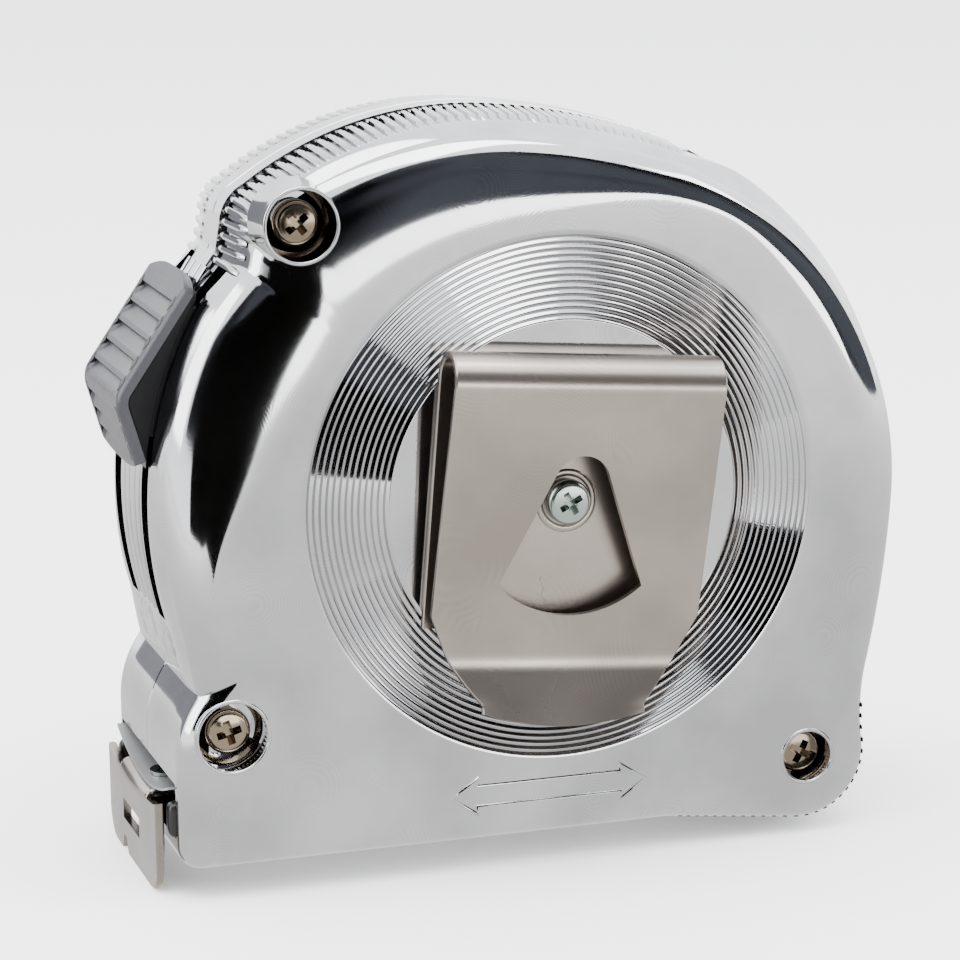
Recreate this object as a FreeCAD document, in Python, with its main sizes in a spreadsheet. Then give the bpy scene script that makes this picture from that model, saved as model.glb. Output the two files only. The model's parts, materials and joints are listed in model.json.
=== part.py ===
import FreeCAD
import Part
import math
import os
from FreeCAD import Placement, Rotation, Vector

# Pocket tape measure with a chrome-plated two-part case, a belt clip and a sliding blade lock.
# Origin: on the flat base, straight below the reel axis and on the parting plane.
# -X is the way the blade leaves, -Y is the belt clip's side, +Z is up. Millimetres.

SIZES = [
    # case
    ("case_half", 16.0),          # parting plane to either flat side
    ("wall", 2.2),                # case wall
    ("reel_height", 37.5),        # base to reel axis
    ("rear_radius", 39.8),        # round back, about the reel axis
    ("front_radius", 43.5),       # curved track of the lock, about the reel axis
    ("front_reach", 42.6),        # reel axis to the front face
    ("hump_radius", 40.44),       # arched top in front of the reel
    ("hump_back", 7.57),          # hump centre forward of the reel axis
    ("hump_rise", 0.87),          # hump centre above the reel axis
    ("heel_radius", 7.6),         # rounded heel about its screw
    ("heel_drop", 5.8),           # heel screw above the base
    ("heel_reach", 28.5),         # reel axis to the heel screw
    ("shoulder", 3.0),            # rounding between the flat side and the edge band
    ("foot_round", 2.4),          # front bottom corner
    ("sole_reach", 12.5),         # reel axis to where the flat base ends and the heel begins
    # case screws
    ("brow_screw_reach", 28.2),   # upper front screw, forward of the reel axis
    ("brow_screw_rise", 30.9),
    ("nose_screw_reach", 36.8),   # lower front screw
    ("nose_screw_drop", 22.8),
    ("screw_radius", 1.4),
    ("screw_head", 2.5),
    ("screw_head_height", 1.8),
    ("boss_radius", 3.5),
    ("pocket_depth", 3.6),
    ("pocket_play", 1.2),         # open space round the two front heads
    ("heel_pocket_play", 0.3),
    ("pocket_rim", 0.9),          # wall of the cup round a head pocket
    # spool
    ("post_radius", 4.0),
    ("post_bore", 1.5),
    ("running_play", 0.05),
    ("side_play", 0.2),           # coil to either flange
    ("flange_radius", 31.0),
    ("flange_thickness", 0.6),
    ("drum_radius", 17.8),
    ("drum_wall", 1.2),
    ("hub_length", 2.4),
    ("hub_wall", 1.4),
    ("socket_depth", 1.0),        # how far the post seats in either half
    ("coil_radius", 29.6),
    ("spring_gauge", 0.35),
    ("spring_turns", 9.0),
    # blade
    ("blade_width", 25.0),
    ("blade_gauge", 0.25),
    ("blade_curl", 35.0),         # radius of the blade's hollow cross-section
    ("blade_low", 6.3),           # underside of the blade above the base
    ("mouth_height", 6.1),
    ("mouth_floor", 3.2),
    ("mouth_play", 0.5),
    ("bumper_width", 1.8),        # of a bumper, in from the side of the mouth
    ("bumper_height", 3.9),
    ("guide_length", 7.0),
    # hook
    ("hook_width", 24.0),
    ("hook_gauge", 0.9),
    ("hook_depth", 3.3),          # how far the hook reaches below the base
    ("hook_play", 1.0),           # true-zero play of the hook
    ("tongue_length", 9.0),
    ("tongue_width", 13.0),
    ("tongue_gauge", 0.7),
    ("rivet_radius", 1.1),
    ("rivet_flange", 0.8),
    ("rivet_head_height", 0.4),
    ("window_width", 8.0),        # slot in the hook for a nail head
    ("window_height", 2.3),
    # lock
    ("pad_half", 8.6),            # half width of the thumb pad
    ("slot_inner", 5.0),          # slots run each side of the parting plane
    ("slot_outer", 8.0),
    ("slider_play", 0.3),
    ("cap_gauge", 1.2),
    ("lock_travel", 20.0),        # degrees about the reel axis, as are the next four
    ("leg_start", 150.0),
    ("leg_span", 19.0),
    ("arm_span", 59.0),
    ("brake_span", 2.2),
    ("brake_half", 5.0),
    ("knee_reach", 43.5),         # centre of the slider's rounded knee
    ("knee_rise", 12.1),
    ("knee_round", 3.0),
    ("upper_facet", 13.7),
    ("lower_facet", 6.9),
    ("arm_outer", 38.5),
    ("arm_gauge", 2.0),
    # belt clip
    ("clip_width", 30.2),
    ("clip_gauge", 0.8),
    ("clip_tilt", 4.9),           # degrees, turned about its screw
    ("clip_gap_top", 5.8),        # case to the inside of the front leaf, at the fold
    ("clip_gap_crease", 2.4),
    ("clip_gap_lip", 4.8),
    ("clip_fold_height", 13.0),   # start of the fold above the clip screw
    ("clip_crease_drop", 17.0),
    ("clip_lip_drop", 23.7),
    ("fan_radius", 11.4),         # fan-shaped opening about the clip screw
    ("clip_screw_head", 2.45),
    ("clip_screw_grip", 7.8),     # screw inside the post
    # far side label
    ("label_radius", 24.0),
    ("label_gauge", 0.4),
]

doc = FreeCAD.newDocument("tape_measure")
sheet = doc.addObject("Spreadsheet::Sheet", "sizes")
for row, (alias, value) in enumerate(SIZES, start=1):
    sheet.set(f"A{row}", alias)
    sheet.set(f"B{row}", str(value))
    sheet.setAlias(f"B{row}", alias)
doc.recompute()
size = {alias: float(sheet.get(alias)) for alias, value in SIZES}

half = size["case_half"]
wall = size["wall"]
reel = Vector(0, 0, size["reel_height"])
inner_half = half - wall
flange_inner = size["blade_width"] / 2 + size["side_play"]
flange_outer = flange_inner + size["flange_thickness"]
ALONG_Y = Rotation(Vector(1, 0, 0), -90)


# ---- helpers -------------------------------------------------------------------------------
def bind(thing, **bindings):
    """Bind each property to an expression on the sheet."""
    for name, text in bindings.items():
        thing.setExpression(name, text)
    return thing


def cylinder(name, radius, length, foot, turn=ALONG_Y):
    """A cylinder whose radius and length are sheet expressions, lying along Y unless turned."""
    made = doc.addObject("Part::Cylinder", name)
    bind(made, Radius=radius, Height=length)
    made.Placement = Placement(foot, turn)
    return made


def block(name, length, width, height, corner):
    """A box whose three sides are sheet expressions."""
    made = doc.addObject("Part::Box", name)
    bind(made, Length=length, Width=width, Height=height)
    made.Placement = Placement(corner, Rotation())
    return made


def fuse(name, pieces):
    made = doc.addObject("Part::MultiFuse", name)
    made.Shapes = pieces
    return made


def cut(name, base, tools):
    """Take the tools away from the base, in one named piece."""
    made = doc.addObject("Part::Cut", name)
    made.Base = base
    made.Tool = tools[0] if len(tools) == 1 else fuse(name + "_tools", tools)
    return made


def polar(radius, degrees):
    """A point on a circle about the reel axis, measured from +X towards +Z."""
    turn = math.radians(degrees)
    return Vector(radius * math.cos(turn), 0, reel.z + radius * math.sin(turn))


def arc(start, middle, end):
    return Part.Arc(start, middle, end)


def line(start, end):
    return Part.LineSegment(start, end)


def closed_face(curves):
    return Part.Face(Part.Wire([curve.toShape() for curve in curves]))


def sketch(body, role, curves, shift=0.0):
    """A sketch on one of the body's own origin planes, its curves given in that plane."""
    made = body.newObject("Sketcher::SketchObject", body.Name + "_sketch")
    plane = [feature for feature in body.Origin.OriginFeatures if feature.Role == role][0]
    made.AttachmentSupport = [(plane, "")]
    made.MapMode = "FlatFace"
    made.AttachmentOffset = Placement(Vector(0, 0, shift), Rotation())
    made.addGeometry(curves, False)
    return made


def pad(body, profile, length, midplane=False, reverse=False):
    made = body.newObject("PartDesign::Pad", body.Name + "_pad")
    made.Profile = profile
    bind(made, Length=length)
    made.SideType = "Symmetric" if midplane else "One side"
    made.Reversed = reverse
    return made


def plane_curves(points, bulges=None):
    """Closed outline in a sketch plane; a bulge is the middle point of an arc after that corner."""
    bulges = bulges or {}
    curves = []
    for index, (across, up) in enumerate(points):
        following = points[(index + 1) % len(points)]
        start = Vector(across, up, 0)
        end = Vector(following[0], following[1], 0)
        if index in bulges:
            curves.append(Part.Arc(start, Vector(bulges[index][0], bulges[index][1], 0), end))
        else:
            curves.append(Part.LineSegment(start, end))
    return curves


# ---- case outline --------------------------------------------------------------------------
NOSE_LOW_DROP = 26.5
NOSE_HIGH_DROP = 18.5
NOSE_SET_BACK = 2.3
NOSE_BULGE = 0.55
TRACK_ANGLES = (197.5, 170.0, 142.0)
BROW_REACH = 33.8
BROW_RISE = 29.6
HUMP_ANGLES = (125.5, 104.0, 83.5)
BACK_ANGLES = (70.0, 32.0, -5.0)
WAIST_SET_BACK = 3.2
WAIST_DROP = 22.0
HEEL_ANGLES = (5.0, -46.0, -96.6)
BROW_BULGE = Vector(-0.55, 0, 0.4)
CROWN_BULGE = Vector(0.11, 0, 0.49)
FLANK_BULGE = Vector(0.35, 0, -0.06)
WAIST_HOLLOW = Vector(-0.41, 0, 0.02)


def case_outline():
    """Side outline of the case on the parting plane, from the front foot clockwise."""
    front = -size["front_reach"]
    foot = size["foot_round"]
    foot_mid = foot * (1 - math.sqrt(0.5))
    hump = reel + Vector(-size["hump_back"], 0, size["hump_rise"])
    heel = Vector(size["heel_reach"], 0, size["heel_drop"])

    def about(centre, radius, degrees):
        turn = math.radians(degrees)
        return centre + Vector(radius * math.cos(turn), 0, radius * math.sin(turn))

    def up(across, above_reel):
        return Vector(across, 0, reel.z + above_reel)

    toe_low = Vector(front + foot, 0, 0)
    toe_high = Vector(front, 0, foot)
    nose_low = up(front, -NOSE_LOW_DROP)
    nose_mid = up(front + NOSE_BULGE, -WAIST_DROP)
    nose_high = up(front + NOSE_SET_BACK, -NOSE_HIGH_DROP)
    track_low, track_mid, track_high = [polar(size["front_radius"], angle) for angle in TRACK_ANGLES]
    brow = up(-BROW_REACH, BROW_RISE)
    hump_start, hump_mid, hump_end = [about(hump, size["hump_radius"], angle) for angle in HUMP_ANGLES]
    back_start, back_mid, back_end = [polar(size["rear_radius"], angle) for angle in BACK_ANGLES]
    waist = up(size["rear_radius"] - WAIST_SET_BACK, -WAIST_DROP)
    heel_start, heel_mid, heel_end = [about(heel, size["heel_radius"], angle) for angle in HEEL_ANGLES]
    sole = Vector(size["sole_reach"], 0, 0)

    def between(start, bulge, end):
        return arc(start, (start + end) * 0.5 + bulge, end)

    return [
        arc(toe_low, Vector(front + foot_mid, 0, foot_mid), toe_high),
        line(toe_high, nose_low),
        arc(nose_low, nose_mid, nose_high),
        line(nose_high, track_low),
        arc(track_low, track_mid, track_high),
        line(track_high, brow),
        between(brow, BROW_BULGE, hump_start),
        arc(hump_start, hump_mid, hump_end),
        between(hump_end, CROWN_BULGE, back_start),
        arc(back_start, back_mid, back_end),
        between(back_end, FLANK_BULGE, waist),
        between(waist, WAIST_HOLLOW, heel_start),
        arc(heel_start, heel_mid, heel_end),
        line(heel_end, sole),
        line(sole, toe_low),
    ]


HEAD_PLAYS = ["pocket_play", "pocket_play", "heel_pocket_play"]
screw_spots = [
    reel + Vector(-size["brow_screw_reach"], 0, size["brow_screw_rise"]),
    reel + Vector(-size["nose_screw_reach"], 0, -size["nose_screw_drop"]),
    Vector(size["heel_reach"], 0, size["heel_drop"]),
]
SOCKET_DEPTH = size["socket_depth"]
LEG_START = size["leg_start"]
LEG_END = LEG_START + size["leg_span"]
SLOT_LEAD = 6.5
SLOT_START = LEG_START - SLOT_LEAD
SLOT_END = LEG_END + size["lock_travel"] + SLOT_LEAD
PIERCE = 1.0
RIM_TOLERANCE = 1e-4
SHOULDER_DEPTHS = 2.0


def ring_sector(low, high, start, end):
    """A flat sector of a ring about the reel axis."""
    middle = (start + end) / 2
    return closed_face([
        arc(polar(high, start), polar(high, middle), polar(high, end)),
        line(polar(high, end), polar(low, end)),
        arc(polar(low, end), polar(low, middle), polar(low, start)),
        line(polar(low, start), polar(high, start)),
    ])


def slot_cutter(name, side):
    """Curved slot through the track, beside the parting plane, for one leg of the slider."""
    face = ring_sector(size["front_radius"] - 2 * wall, size["front_radius"] + wall, SLOT_START, SLOT_END)
    start = size["slot_inner"] if side > 0 else -size["slot_outer"]
    face.translate(Vector(0, start, 0))
    made = doc.addObject("Part::Feature", name)
    made.Shape = face.extrude(Vector(0, size["slot_outer"] - size["slot_inner"], 0))
    return made


def shell_blanks(name, side):
    """The rounded outside of one case half and the hollow inside it; side is -1 for the clip side.
    The outer end is rounded as a short cap, so that its rounding is the same whatever the case's depth."""
    profile = closed_face(case_outline())
    rolled = side * SHOULDER_DEPTHS * size["shoulder"]
    cap = profile.extrude(Vector(0, rolled, 0))
    rim = []
    for edge in cap.Edges:
        strays = [abs(edge.BoundBox.YMin - rolled), abs(edge.BoundBox.YMax - rolled)]
        if max(strays) < RIM_TOLERANCE:
            rim.append(edge)
    cap = cap.makeFillet(size["shoulder"], rim)
    cap.translate(Vector(0, side * half - rolled, 0))
    band = profile.extrude(Vector(0, side * half - rolled, 0))
    outside = doc.addObject("Part::Feature", name + "_outside")
    outside.Shape = band.fuse(cap).removeSplitter()
    inner = Part.Face(profile.OuterWire.makeOffset2D(-wall))
    hollow = doc.addObject("Part::Feature", name + "_hollow")
    hollow.Shape = inner.extrude(Vector(0, side * inner_half, 0))
    return outside, hollow


def case_half(label, side):
    """One case shell with its screw bosses, post socket, lock slot and half of the mouth."""
    near = side < 0
    outside, hollow = shell_blanks(label, side)
    skin = cut(label + "_skin", outside, [hollow])
    posts = []
    holes = []
    for number, (spot, play) in enumerate(zip(screw_spots, HEAD_PLAYS), start=1):
        boss_foot = spot + Vector(0, wall / 2 - half if near else 0, 0)
        posts.append(cylinder(f"{label}_boss_{number}", "sizes.boss_radius",
                              "sizes.case_half - sizes.wall / 2", boss_foot))
        if near:
            posts.append(cylinder(f"{label}_cup_{number}",
                                  f"sizes.screw_head + sizes.{play} + sizes.pocket_rim",
                                  "sizes.pocket_depth + sizes.wall / 2", spot + Vector(0, -half, 0)))
            holes.append(cylinder(f"{label}_pocket_{number}", f"sizes.screw_head + sizes.{play}",
                                  f"sizes.pocket_depth + {PIERCE}", spot + Vector(0, -half - PIERCE, 0)))
            holes.append(cylinder(f"{label}_hole_{number}", "sizes.screw_radius + sizes.running_play",
                                  f"sizes.case_half + {2 * PIERCE}", spot + Vector(0, -half - PIERCE, 0)))
        else:
            holes.append(cylinder(f"{label}_hole_{number}", "sizes.screw_radius + sizes.running_play",
                                  f"sizes.case_half - 2 * sizes.wall + {PIERCE}",
                                  spot + Vector(0, -PIERCE, 0)))
    inside_posts = doc.addObject("Part::MultiCommon", label + "_posts")
    inside_posts.Shapes = [fuse(label + "_bosses", posts), outside]
    socket_foot = reel + Vector(0, -inner_half - SOCKET_DEPTH if near else inner_half - PIERCE, 0)
    holes.append(cylinder(label + "_socket", "sizes.post_radius + sizes.running_play / 2",
                          f"sizes.socket_depth + {PIERCE}", socket_foot))
    holes.append(slot_cutter(label + "_slot", side))
    holes.append(block(label + "_mouth", "3 * sizes.wall", "sizes.blade_width + 2 * sizes.mouth_play",
                       "sizes.mouth_height",
                       Vector(-size["front_reach"] - wall, -size["blade_width"] / 2 - size["mouth_play"],
                              size["mouth_floor"])))
    if near:
        holes.append(cylinder(label + "_centre", "sizes.post_bore + 2 * sizes.running_play",
                              "2 * sizes.wall",
                              reel + Vector(0, -half - PIERCE, 0)))
    else:
        holes.append(cylinder(label + "_label_seat", "sizes.label_radius + sizes.running_play",
                              f"sizes.label_gauge + {PIERCE}",
                              reel + Vector(0, half - size["label_gauge"], 0)))
    whole = fuse(label + "_whole", [skin, inside_posts])
    return cut(label, whole, holes)


case_half("clip_side_case", -1)
case_half("label_side_case", 1)


# ---- fasteners -----------------------------------------------------------------------------
RECESS_REACH = 3.0
RECESS_BLADE = 0.6
RECESS_DEPTH = 1.0


def cross_recess(name, centre, reach, depth):
    """Two crossed blades of a driver recess, sunk into a head that faces -Y."""
    bars = []
    for number, (across, high) in enumerate([(reach, RECESS_BLADE), (RECESS_BLADE, reach)], start=1):
        bar = doc.addObject("Part::Box", f"{name}_bar_{number}")
        bar.Length = across
        bar.Width = depth
        bar.Height = high
        bar.Placement = Placement(centre - Vector(across / 2, 0, high / 2), Rotation())
        bars.append(bar)
    return bars


def pan_screw(name, foot, head_radius, head_height, shank_radius, shank_length):
    """A pan-head screw along +Y whose head starts at the foot."""
    head = cylinder(name + "_head", head_radius, head_height, foot)
    seat = foot + Vector(0, size["screw_head_height"], 0)
    shank = cylinder(name + "_shank", shank_radius, shank_length, seat)
    recess = cross_recess(name, foot, RECESS_REACH, RECESS_DEPTH)
    return cut(name, fuse(name + "_solid", [head, shank]), recess)


SCREW_LENGTH = "2 * sizes.case_half - sizes.pocket_depth - 3 * sizes.wall - sizes.socket_depth"
head_foot = size["pocket_depth"] - half - size["screw_head_height"]
case_screws = doc.addObject("Part::Compound", "case_screws")
case_screws.Links = [
    pan_screw(f"case_screw_{number}", spot + Vector(0, head_foot, 0), "sizes.screw_head",
              "sizes.screw_head_height", "sizes.screw_radius", SCREW_LENGTH)
    for number, spot in enumerate(screw_spots, start=1)
]
clip_head_foot = reel + Vector(0, -half - size["clip_gauge"] - size["screw_head_height"], 0)
pan_screw("clip_screw", clip_head_foot, "sizes.clip_screw_head", "sizes.screw_head_height",
          "sizes.post_bore - sizes.running_play", "sizes.clip_gauge + sizes.wall + sizes.clip_screw_grip")

# ---- spool ---------------------------------------------------------------------------------
post_end = inner_half + SOCKET_DEPTH
post_solid = cylinder("post_solid", "sizes.post_radius",
                      "2 * (sizes.case_half - sizes.wall + sizes.socket_depth)",
                      reel + Vector(0, -post_end, 0))
post_bore = cylinder("post_bore", "sizes.post_bore", f"sizes.clip_screw_grip + 5 + {PIERCE}",
                     reel + Vector(0, -post_end - PIERCE, 0))
SLIT_FLOOR = 1.8
post_slit = block("post_slit", "3 * sizes.spring_gauge", "sizes.case_half", f"sizes.post_radius + {PIERCE}",
                  reel + Vector(-1.5 * size["spring_gauge"], -half / 2, SLIT_FLOOR))
cut("spool_post", post_solid, [post_bore, post_slit])


def flange(name, side):
    """A thin disc with a short hub that runs on the post."""
    disc_foot = flange_inner if side > 0 else -flange_outer
    hub_foot = flange_inner - size["hub_length"] if side > 0 else -flange_outer
    disc = cylinder(name + "_disc", "sizes.flange_radius", "sizes.flange_thickness",
                    reel + Vector(0, disc_foot, 0))
    hub = cylinder(name + "_hub", "sizes.post_radius + sizes.hub_wall",
                   "sizes.hub_length + sizes.flange_thickness", reel + Vector(0, hub_foot, 0))
    bore = cylinder(name + "_bore", "sizes.post_radius + sizes.running_play", "2 * sizes.case_half",
                    reel + Vector(0, -half, 0))
    return [disc, hub], bore


drum_solids, drum_bore = flange("drum_side", 1)
rim_length = "sizes.blade_width + 2 * sizes.side_play"
rim = cylinder("drum_rim", "sizes.drum_radius", rim_length, reel + Vector(0, -flange_inner, 0))
rim_hollow = cylinder("drum_rim_hollow", "sizes.drum_radius - sizes.drum_wall", rim_length,
                      reel + Vector(0, -flange_inner, 0))
rim_tube = cut("drum_rim_tube", rim, [rim_hollow])
cut("spool_drum", fuse("drum_whole", drum_solids + [rim_tube]), [drum_bore])
lid_solids, lid_bore = flange("lid_side", -1)
cut("spool_flange", fuse("lid_whole", lid_solids), [lid_bore])

coil_length = "sizes.blade_width"
coil_foot = reel + Vector(0, -size["blade_width"] / 2, 0)
coil_solid = cylinder("coil_solid", "sizes.coil_radius", coil_length, coil_foot)
coil_eye = cylinder("coil_eye", "sizes.drum_radius + sizes.running_play", coil_length, coil_foot)
cut("blade_coil", coil_solid, [coil_eye])


def spiral_face(inner, outer, turns, gauge):
    """A flat spiral strip of half circles that grow evenly; each next one starts where the last ends."""
    half_turns = int(round(2 * turns))
    growth = (outer - inner) / half_turns
    strands = []
    for offset in (gauge / 2, -gauge / 2):
        right = inner
        spine = []
        for number in range(half_turns):
            radius = inner + growth * (number + 0.5)
            if number % 2 == 0:
                left = right - 2 * radius
                centre = (right + left) / 2
                reach = radius + offset
                spine.append(arc(reel + Vector(centre + reach, 0, 0), reel + Vector(centre, 0, reach),
                                 reel + Vector(centre - reach, 0, 0)))
            else:
                right = left + 2 * radius
                centre = (right + left) / 2
                reach = radius + offset
                spine.append(arc(reel + Vector(centre - reach, 0, 0), reel + Vector(centre, 0, -reach),
                                 reel + Vector(centre + reach, 0, 0)))
        strands.append(spine)
    outside, inside = strands
    caps = [
        line(outside[0].StartPoint, inside[0].StartPoint),
        line(outside[-1].EndPoint, inside[-1].EndPoint),
    ]
    edges = [curve.toShape() for curve in outside + inside + caps]
    return Part.Face(Part.Wire(Part.__sortEdges__(edges)))


SPRING_PLAY = 0.3
SPRING_EYE_GAP = 2.2
SPRING_RIM_GAP = 0.9
spring_half = flange_inner - size["hub_length"] - SPRING_PLAY
spring_face = spiral_face(size["post_radius"] + SPRING_EYE_GAP,
                          size["drum_radius"] - size["drum_wall"] - SPRING_RIM_GAP,
                          size["spring_turns"], size["spring_gauge"])
spring_face.translate(Vector(0, -spring_half, 0))
power_spring = doc.addObject("Part::Feature", "power_spring")
power_spring.Shape = spring_face.extrude(Vector(0, 2 * spring_half, 0))

# ---- blade and hook ------------------------------------------------------------------------
blade_half = size["blade_width"] / 2
curl_centre = size["blade_low"] + size["blade_curl"]
BLADE_PROUD = 0.7
BLADE_CURL_END = -14.0
BLADE_TAIL = -1.0
TAIL_CLEARANCE = 0.4
RIVET_SPACING = (2.8, 6.6)
TONGUE_GAP = 0.05
HOOK_GAP = 0.3
blade_front = -size["front_reach"] - BLADE_PROUD


def curl_band(at, outer, gauge, reach):
    """Wire of a strip hollow upwards, in the plane x = at; reach is its half width."""
    def point(radius, across):
        return Vector(at, across, curl_centre - math.sqrt(radius * radius - across * across))
    inner = outer - gauge
    edges = [
        arc(point(outer, -reach), point(outer, 0), point(outer, reach)),
        line(point(outer, reach), point(inner, reach)),
        arc(point(inner, reach), point(inner, 0), point(inner, -reach)),
        line(point(inner, -reach), point(outer, -reach)),
    ]
    return Part.Wire([edge.toShape() for edge in edges])


def flat_band(at, low, gauge, reach):
    """Wire of the same strip pressed flat, with matching corners."""
    high = low + gauge
    corners = [
        Vector(at, -reach, low),
        Vector(at, reach, low),
        Vector(at, reach, high),
        Vector(at, -reach, high),
    ]
    return Part.makePolygon(corners + corners[:1])


rivet_spots = [Vector(blade_front + spacing, 0, 0) for spacing in RIVET_SPACING]
rivet_low = curl_centre - size["blade_curl"] - 1.2
lead_blank = doc.addObject("Part::Feature", "blade_lead_blank")
curled = Part.Face(curl_band(blade_front, size["blade_curl"], size["blade_gauge"], blade_half))
curled = curled.extrude(Vector(BLADE_CURL_END - blade_front, 0, 0))
tail_low = reel.z - size["coil_radius"] - TAIL_CLEARANCE - size["blade_gauge"]
flattened = Part.makeLoft([
    curl_band(BLADE_CURL_END, size["blade_curl"], size["blade_gauge"], blade_half),
    flat_band(BLADE_TAIL, tail_low, size["blade_gauge"], blade_half),
], True, True)
lead_blank.Shape = curled.fuse(flattened)
lead_holes = [cylinder(f"lead_hole_{number}", "sizes.rivet_radius + sizes.running_play", "4",
                       spot + Vector(0, 0, rivet_low), Rotation())
              for number, spot in enumerate(rivet_spots, start=1)]
cut("blade_lead", lead_blank, lead_holes)

TONGUE = size["tongue_gauge"]
RIVET_LIFT = 0.07
head_height = size["rivet_head_height"]
upper_head = curl_centre - size["blade_curl"] + size["blade_gauge"] + RIVET_LIFT
lower_head = curl_centre - size["blade_curl"] - 2 * TONGUE_GAP - TONGUE - head_height
rivets = []
for number, spot in enumerate(rivet_spots, start=1):
    shank = cylinder(f"rivet_shank_{number}", "sizes.rivet_radius", f"{upper_head - lower_head}",
                     spot + Vector(0, 0, lower_head), Rotation())
    heads = [cylinder(f"rivet_{place}_{number}", "sizes.rivet_radius + sizes.rivet_flange",
                      "sizes.rivet_head_height", spot + Vector(0, 0, height), Rotation())
             for place, height in (("top", upper_head), ("bottom", lower_head))]
    rivets.append(fuse(f"rivet_{number}", [shank] + heads))
hook_rivets = doc.addObject("Part::Compound", "hook_rivets")
hook_rivets.Links = rivets

hook_half = size["hook_width"] / 2
hook_back = blade_front - HOOK_GAP
plate_top = size["blade_curl"] - size["blade_gauge"]
ear = curl_centre - math.sqrt(plate_top ** 2 - hook_half ** 2)
plate_low = -size["hook_depth"]
NOTCH_AT = 4.2
NOTCH_DEPTH = 1.7
CORNER_LEG = 3.4
CORNER_SET = 2.6
CORNER_ROUND = 3.6
plate = doc.addObject("PartDesign::Body", "hook_plate")
plate_curves = plane_curves(
    [(-hook_half, ear), (hook_half, ear), (hook_half, plate_low + CORNER_LEG),
     (hook_half - CORNER_SET, plate_low + HOOK_GAP), (NOTCH_AT + 1.2, plate_low + HOOK_GAP),
     (NOTCH_AT + 0.7, plate_low + NOTCH_DEPTH), (NOTCH_AT - 0.7, plate_low + NOTCH_DEPTH),
     (NOTCH_AT - 1.4, plate_low), (CORNER_ROUND - hook_half, plate_low),
     (-hook_half, plate_low + CORNER_ROUND)],
    {0: (0, curl_centre - plate_top),
     8: (CORNER_ROUND * 0.29 - hook_half, plate_low + CORNER_ROUND * 0.29)})
pad(plate, sketch(plate, "YZ_Plane", plate_curves, hook_back), "sizes.hook_gauge", reverse=True)
WINDOW_START = -3.2
WINDOW_FLOOR = 0.4
hook_window = block("hook_window", "4 * sizes.hook_gauge", "sizes.window_width", "sizes.window_height",
                    Vector(hook_back - 3 * size["hook_gauge"], WINDOW_START, WINDOW_FLOOR))
tongue_outer = size["blade_curl"] + TONGUE_GAP + TONGUE
tongue_half = size["tongue_width"] / 2
tongue_wire = curl_band(hook_back, tongue_outer, TONGUE, tongue_half)
tongue = doc.addObject("Part::Feature", "hook_tongue")
tongue.Shape = Part.Face(tongue_wire).extrude(Vector(size["tongue_length"], 0, 0))
NECK_RISE = 0.95
neck_wire = curl_band(hook_back - size["hook_gauge"], tongue_outer, NECK_RISE + TONGUE, tongue_half)
neck = doc.addObject("Part::Feature", "hook_neck")
neck.Shape = Part.Face(neck_wire).extrude(Vector(size["hook_gauge"], 0, 0))
tongue_slots = []
for number, spot in enumerate(rivet_spots, start=1):
    for shift in (0.0, size["hook_play"]):
        tongue_slots.append(cylinder(f"tongue_slot_{number}_{int(shift > 0)}",
                                     "sizes.rivet_radius + 2 * sizes.running_play", "4",
                                     spot + Vector(shift, 0, rivet_low - 1), Rotation()))
    slot_side = size["rivet_radius"] + 2 * size["running_play"]
    tongue_slots.append(block(f"tongue_slot_{number}_run", "sizes.hook_play",
                              "2 * sizes.rivet_radius + 4 * sizes.running_play", "4",
                              spot + Vector(0, -slot_side, rivet_low - 1)))
cut("end_hook", fuse("hook_whole", [plate, neck, tongue]), [hook_window] + tongue_slots)

# ---- mouth ---------------------------------------------------------------------------------
bumpers = []
for number, side in enumerate((-1, 1), start=1):
    outside = blade_half + size["mouth_play"]
    inside = outside - size["bumper_width"]
    corner = Vector(blade_front, inside if side > 0 else -outside, size["mouth_floor"])
    bumpers.append(block(f"bumper_{number}", "sizes.wall + sizes.mouth_play", "sizes.bumper_width",
                         "sizes.bumper_height", corner))
mouth_bumpers = doc.addObject("Part::Compound", "mouth_bumpers")
mouth_bumpers.Links = bumpers
GUIDE_GAP = 0.9
GUIDE_OVERHANG = 0.2
block("blade_guide", "sizes.guide_length", f"sizes.blade_width + {2 * GUIDE_OVERHANG}",
      f"sizes.blade_low - {HOOK_GAP} - sizes.wall",
      Vector(blade_front + size["tongue_length"] + GUIDE_GAP, -blade_half - GUIDE_OVERHANG, wall))

# ---- lock ----------------------------------------------------------------------------------
knee = reel + Vector(-size["knee_reach"], 0, size["knee_rise"])
UPPER_SLOPE = 145.4
LOWER_SLOPE = 195.8
SLIDER_ANGLES = (173.6, 160.6, 149.1)
slider_foot = size["front_radius"] + size["slider_play"]


def slider_profile(inset):
    """Side shape of the lock: two facets tangent to a rounded knee, closed by the track's arc."""
    def out(degrees, radius):
        turn = math.radians(degrees)
        return Vector(radius * math.cos(turn), 0, radius * math.sin(turn))
    radius = size["knee_round"] - inset
    upper = knee + out(UPPER_SLOPE, radius)
    lower = knee + out(LOWER_SLOPE, radius)
    top = upper + out(UPPER_SLOPE - 90, size["upper_facet"] - inset)
    bottom = lower + out(LOWER_SLOPE + 90, size["lower_facet"] - inset)
    low_point, mid_point, high_point = [polar(slider_foot, angle) for angle in SLIDER_ANGLES]
    return closed_face([
        line(high_point, top),
        line(top, upper),
        arc(upper, knee + out((UPPER_SLOPE + LOWER_SLOPE) / 2, radius), lower),
        line(lower, bottom),
        line(bottom, low_point),
        arc(low_point, mid_point, high_point),
    ])


def prism(name, face, reach):
    """A solid of the face, the same each side of the parting plane."""
    made = doc.addObject("Part::Feature", name)
    face.translate(Vector(0, -reach, 0))
    made.Shape = face.extrude(Vector(0, 2 * reach, 0))
    return made


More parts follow.
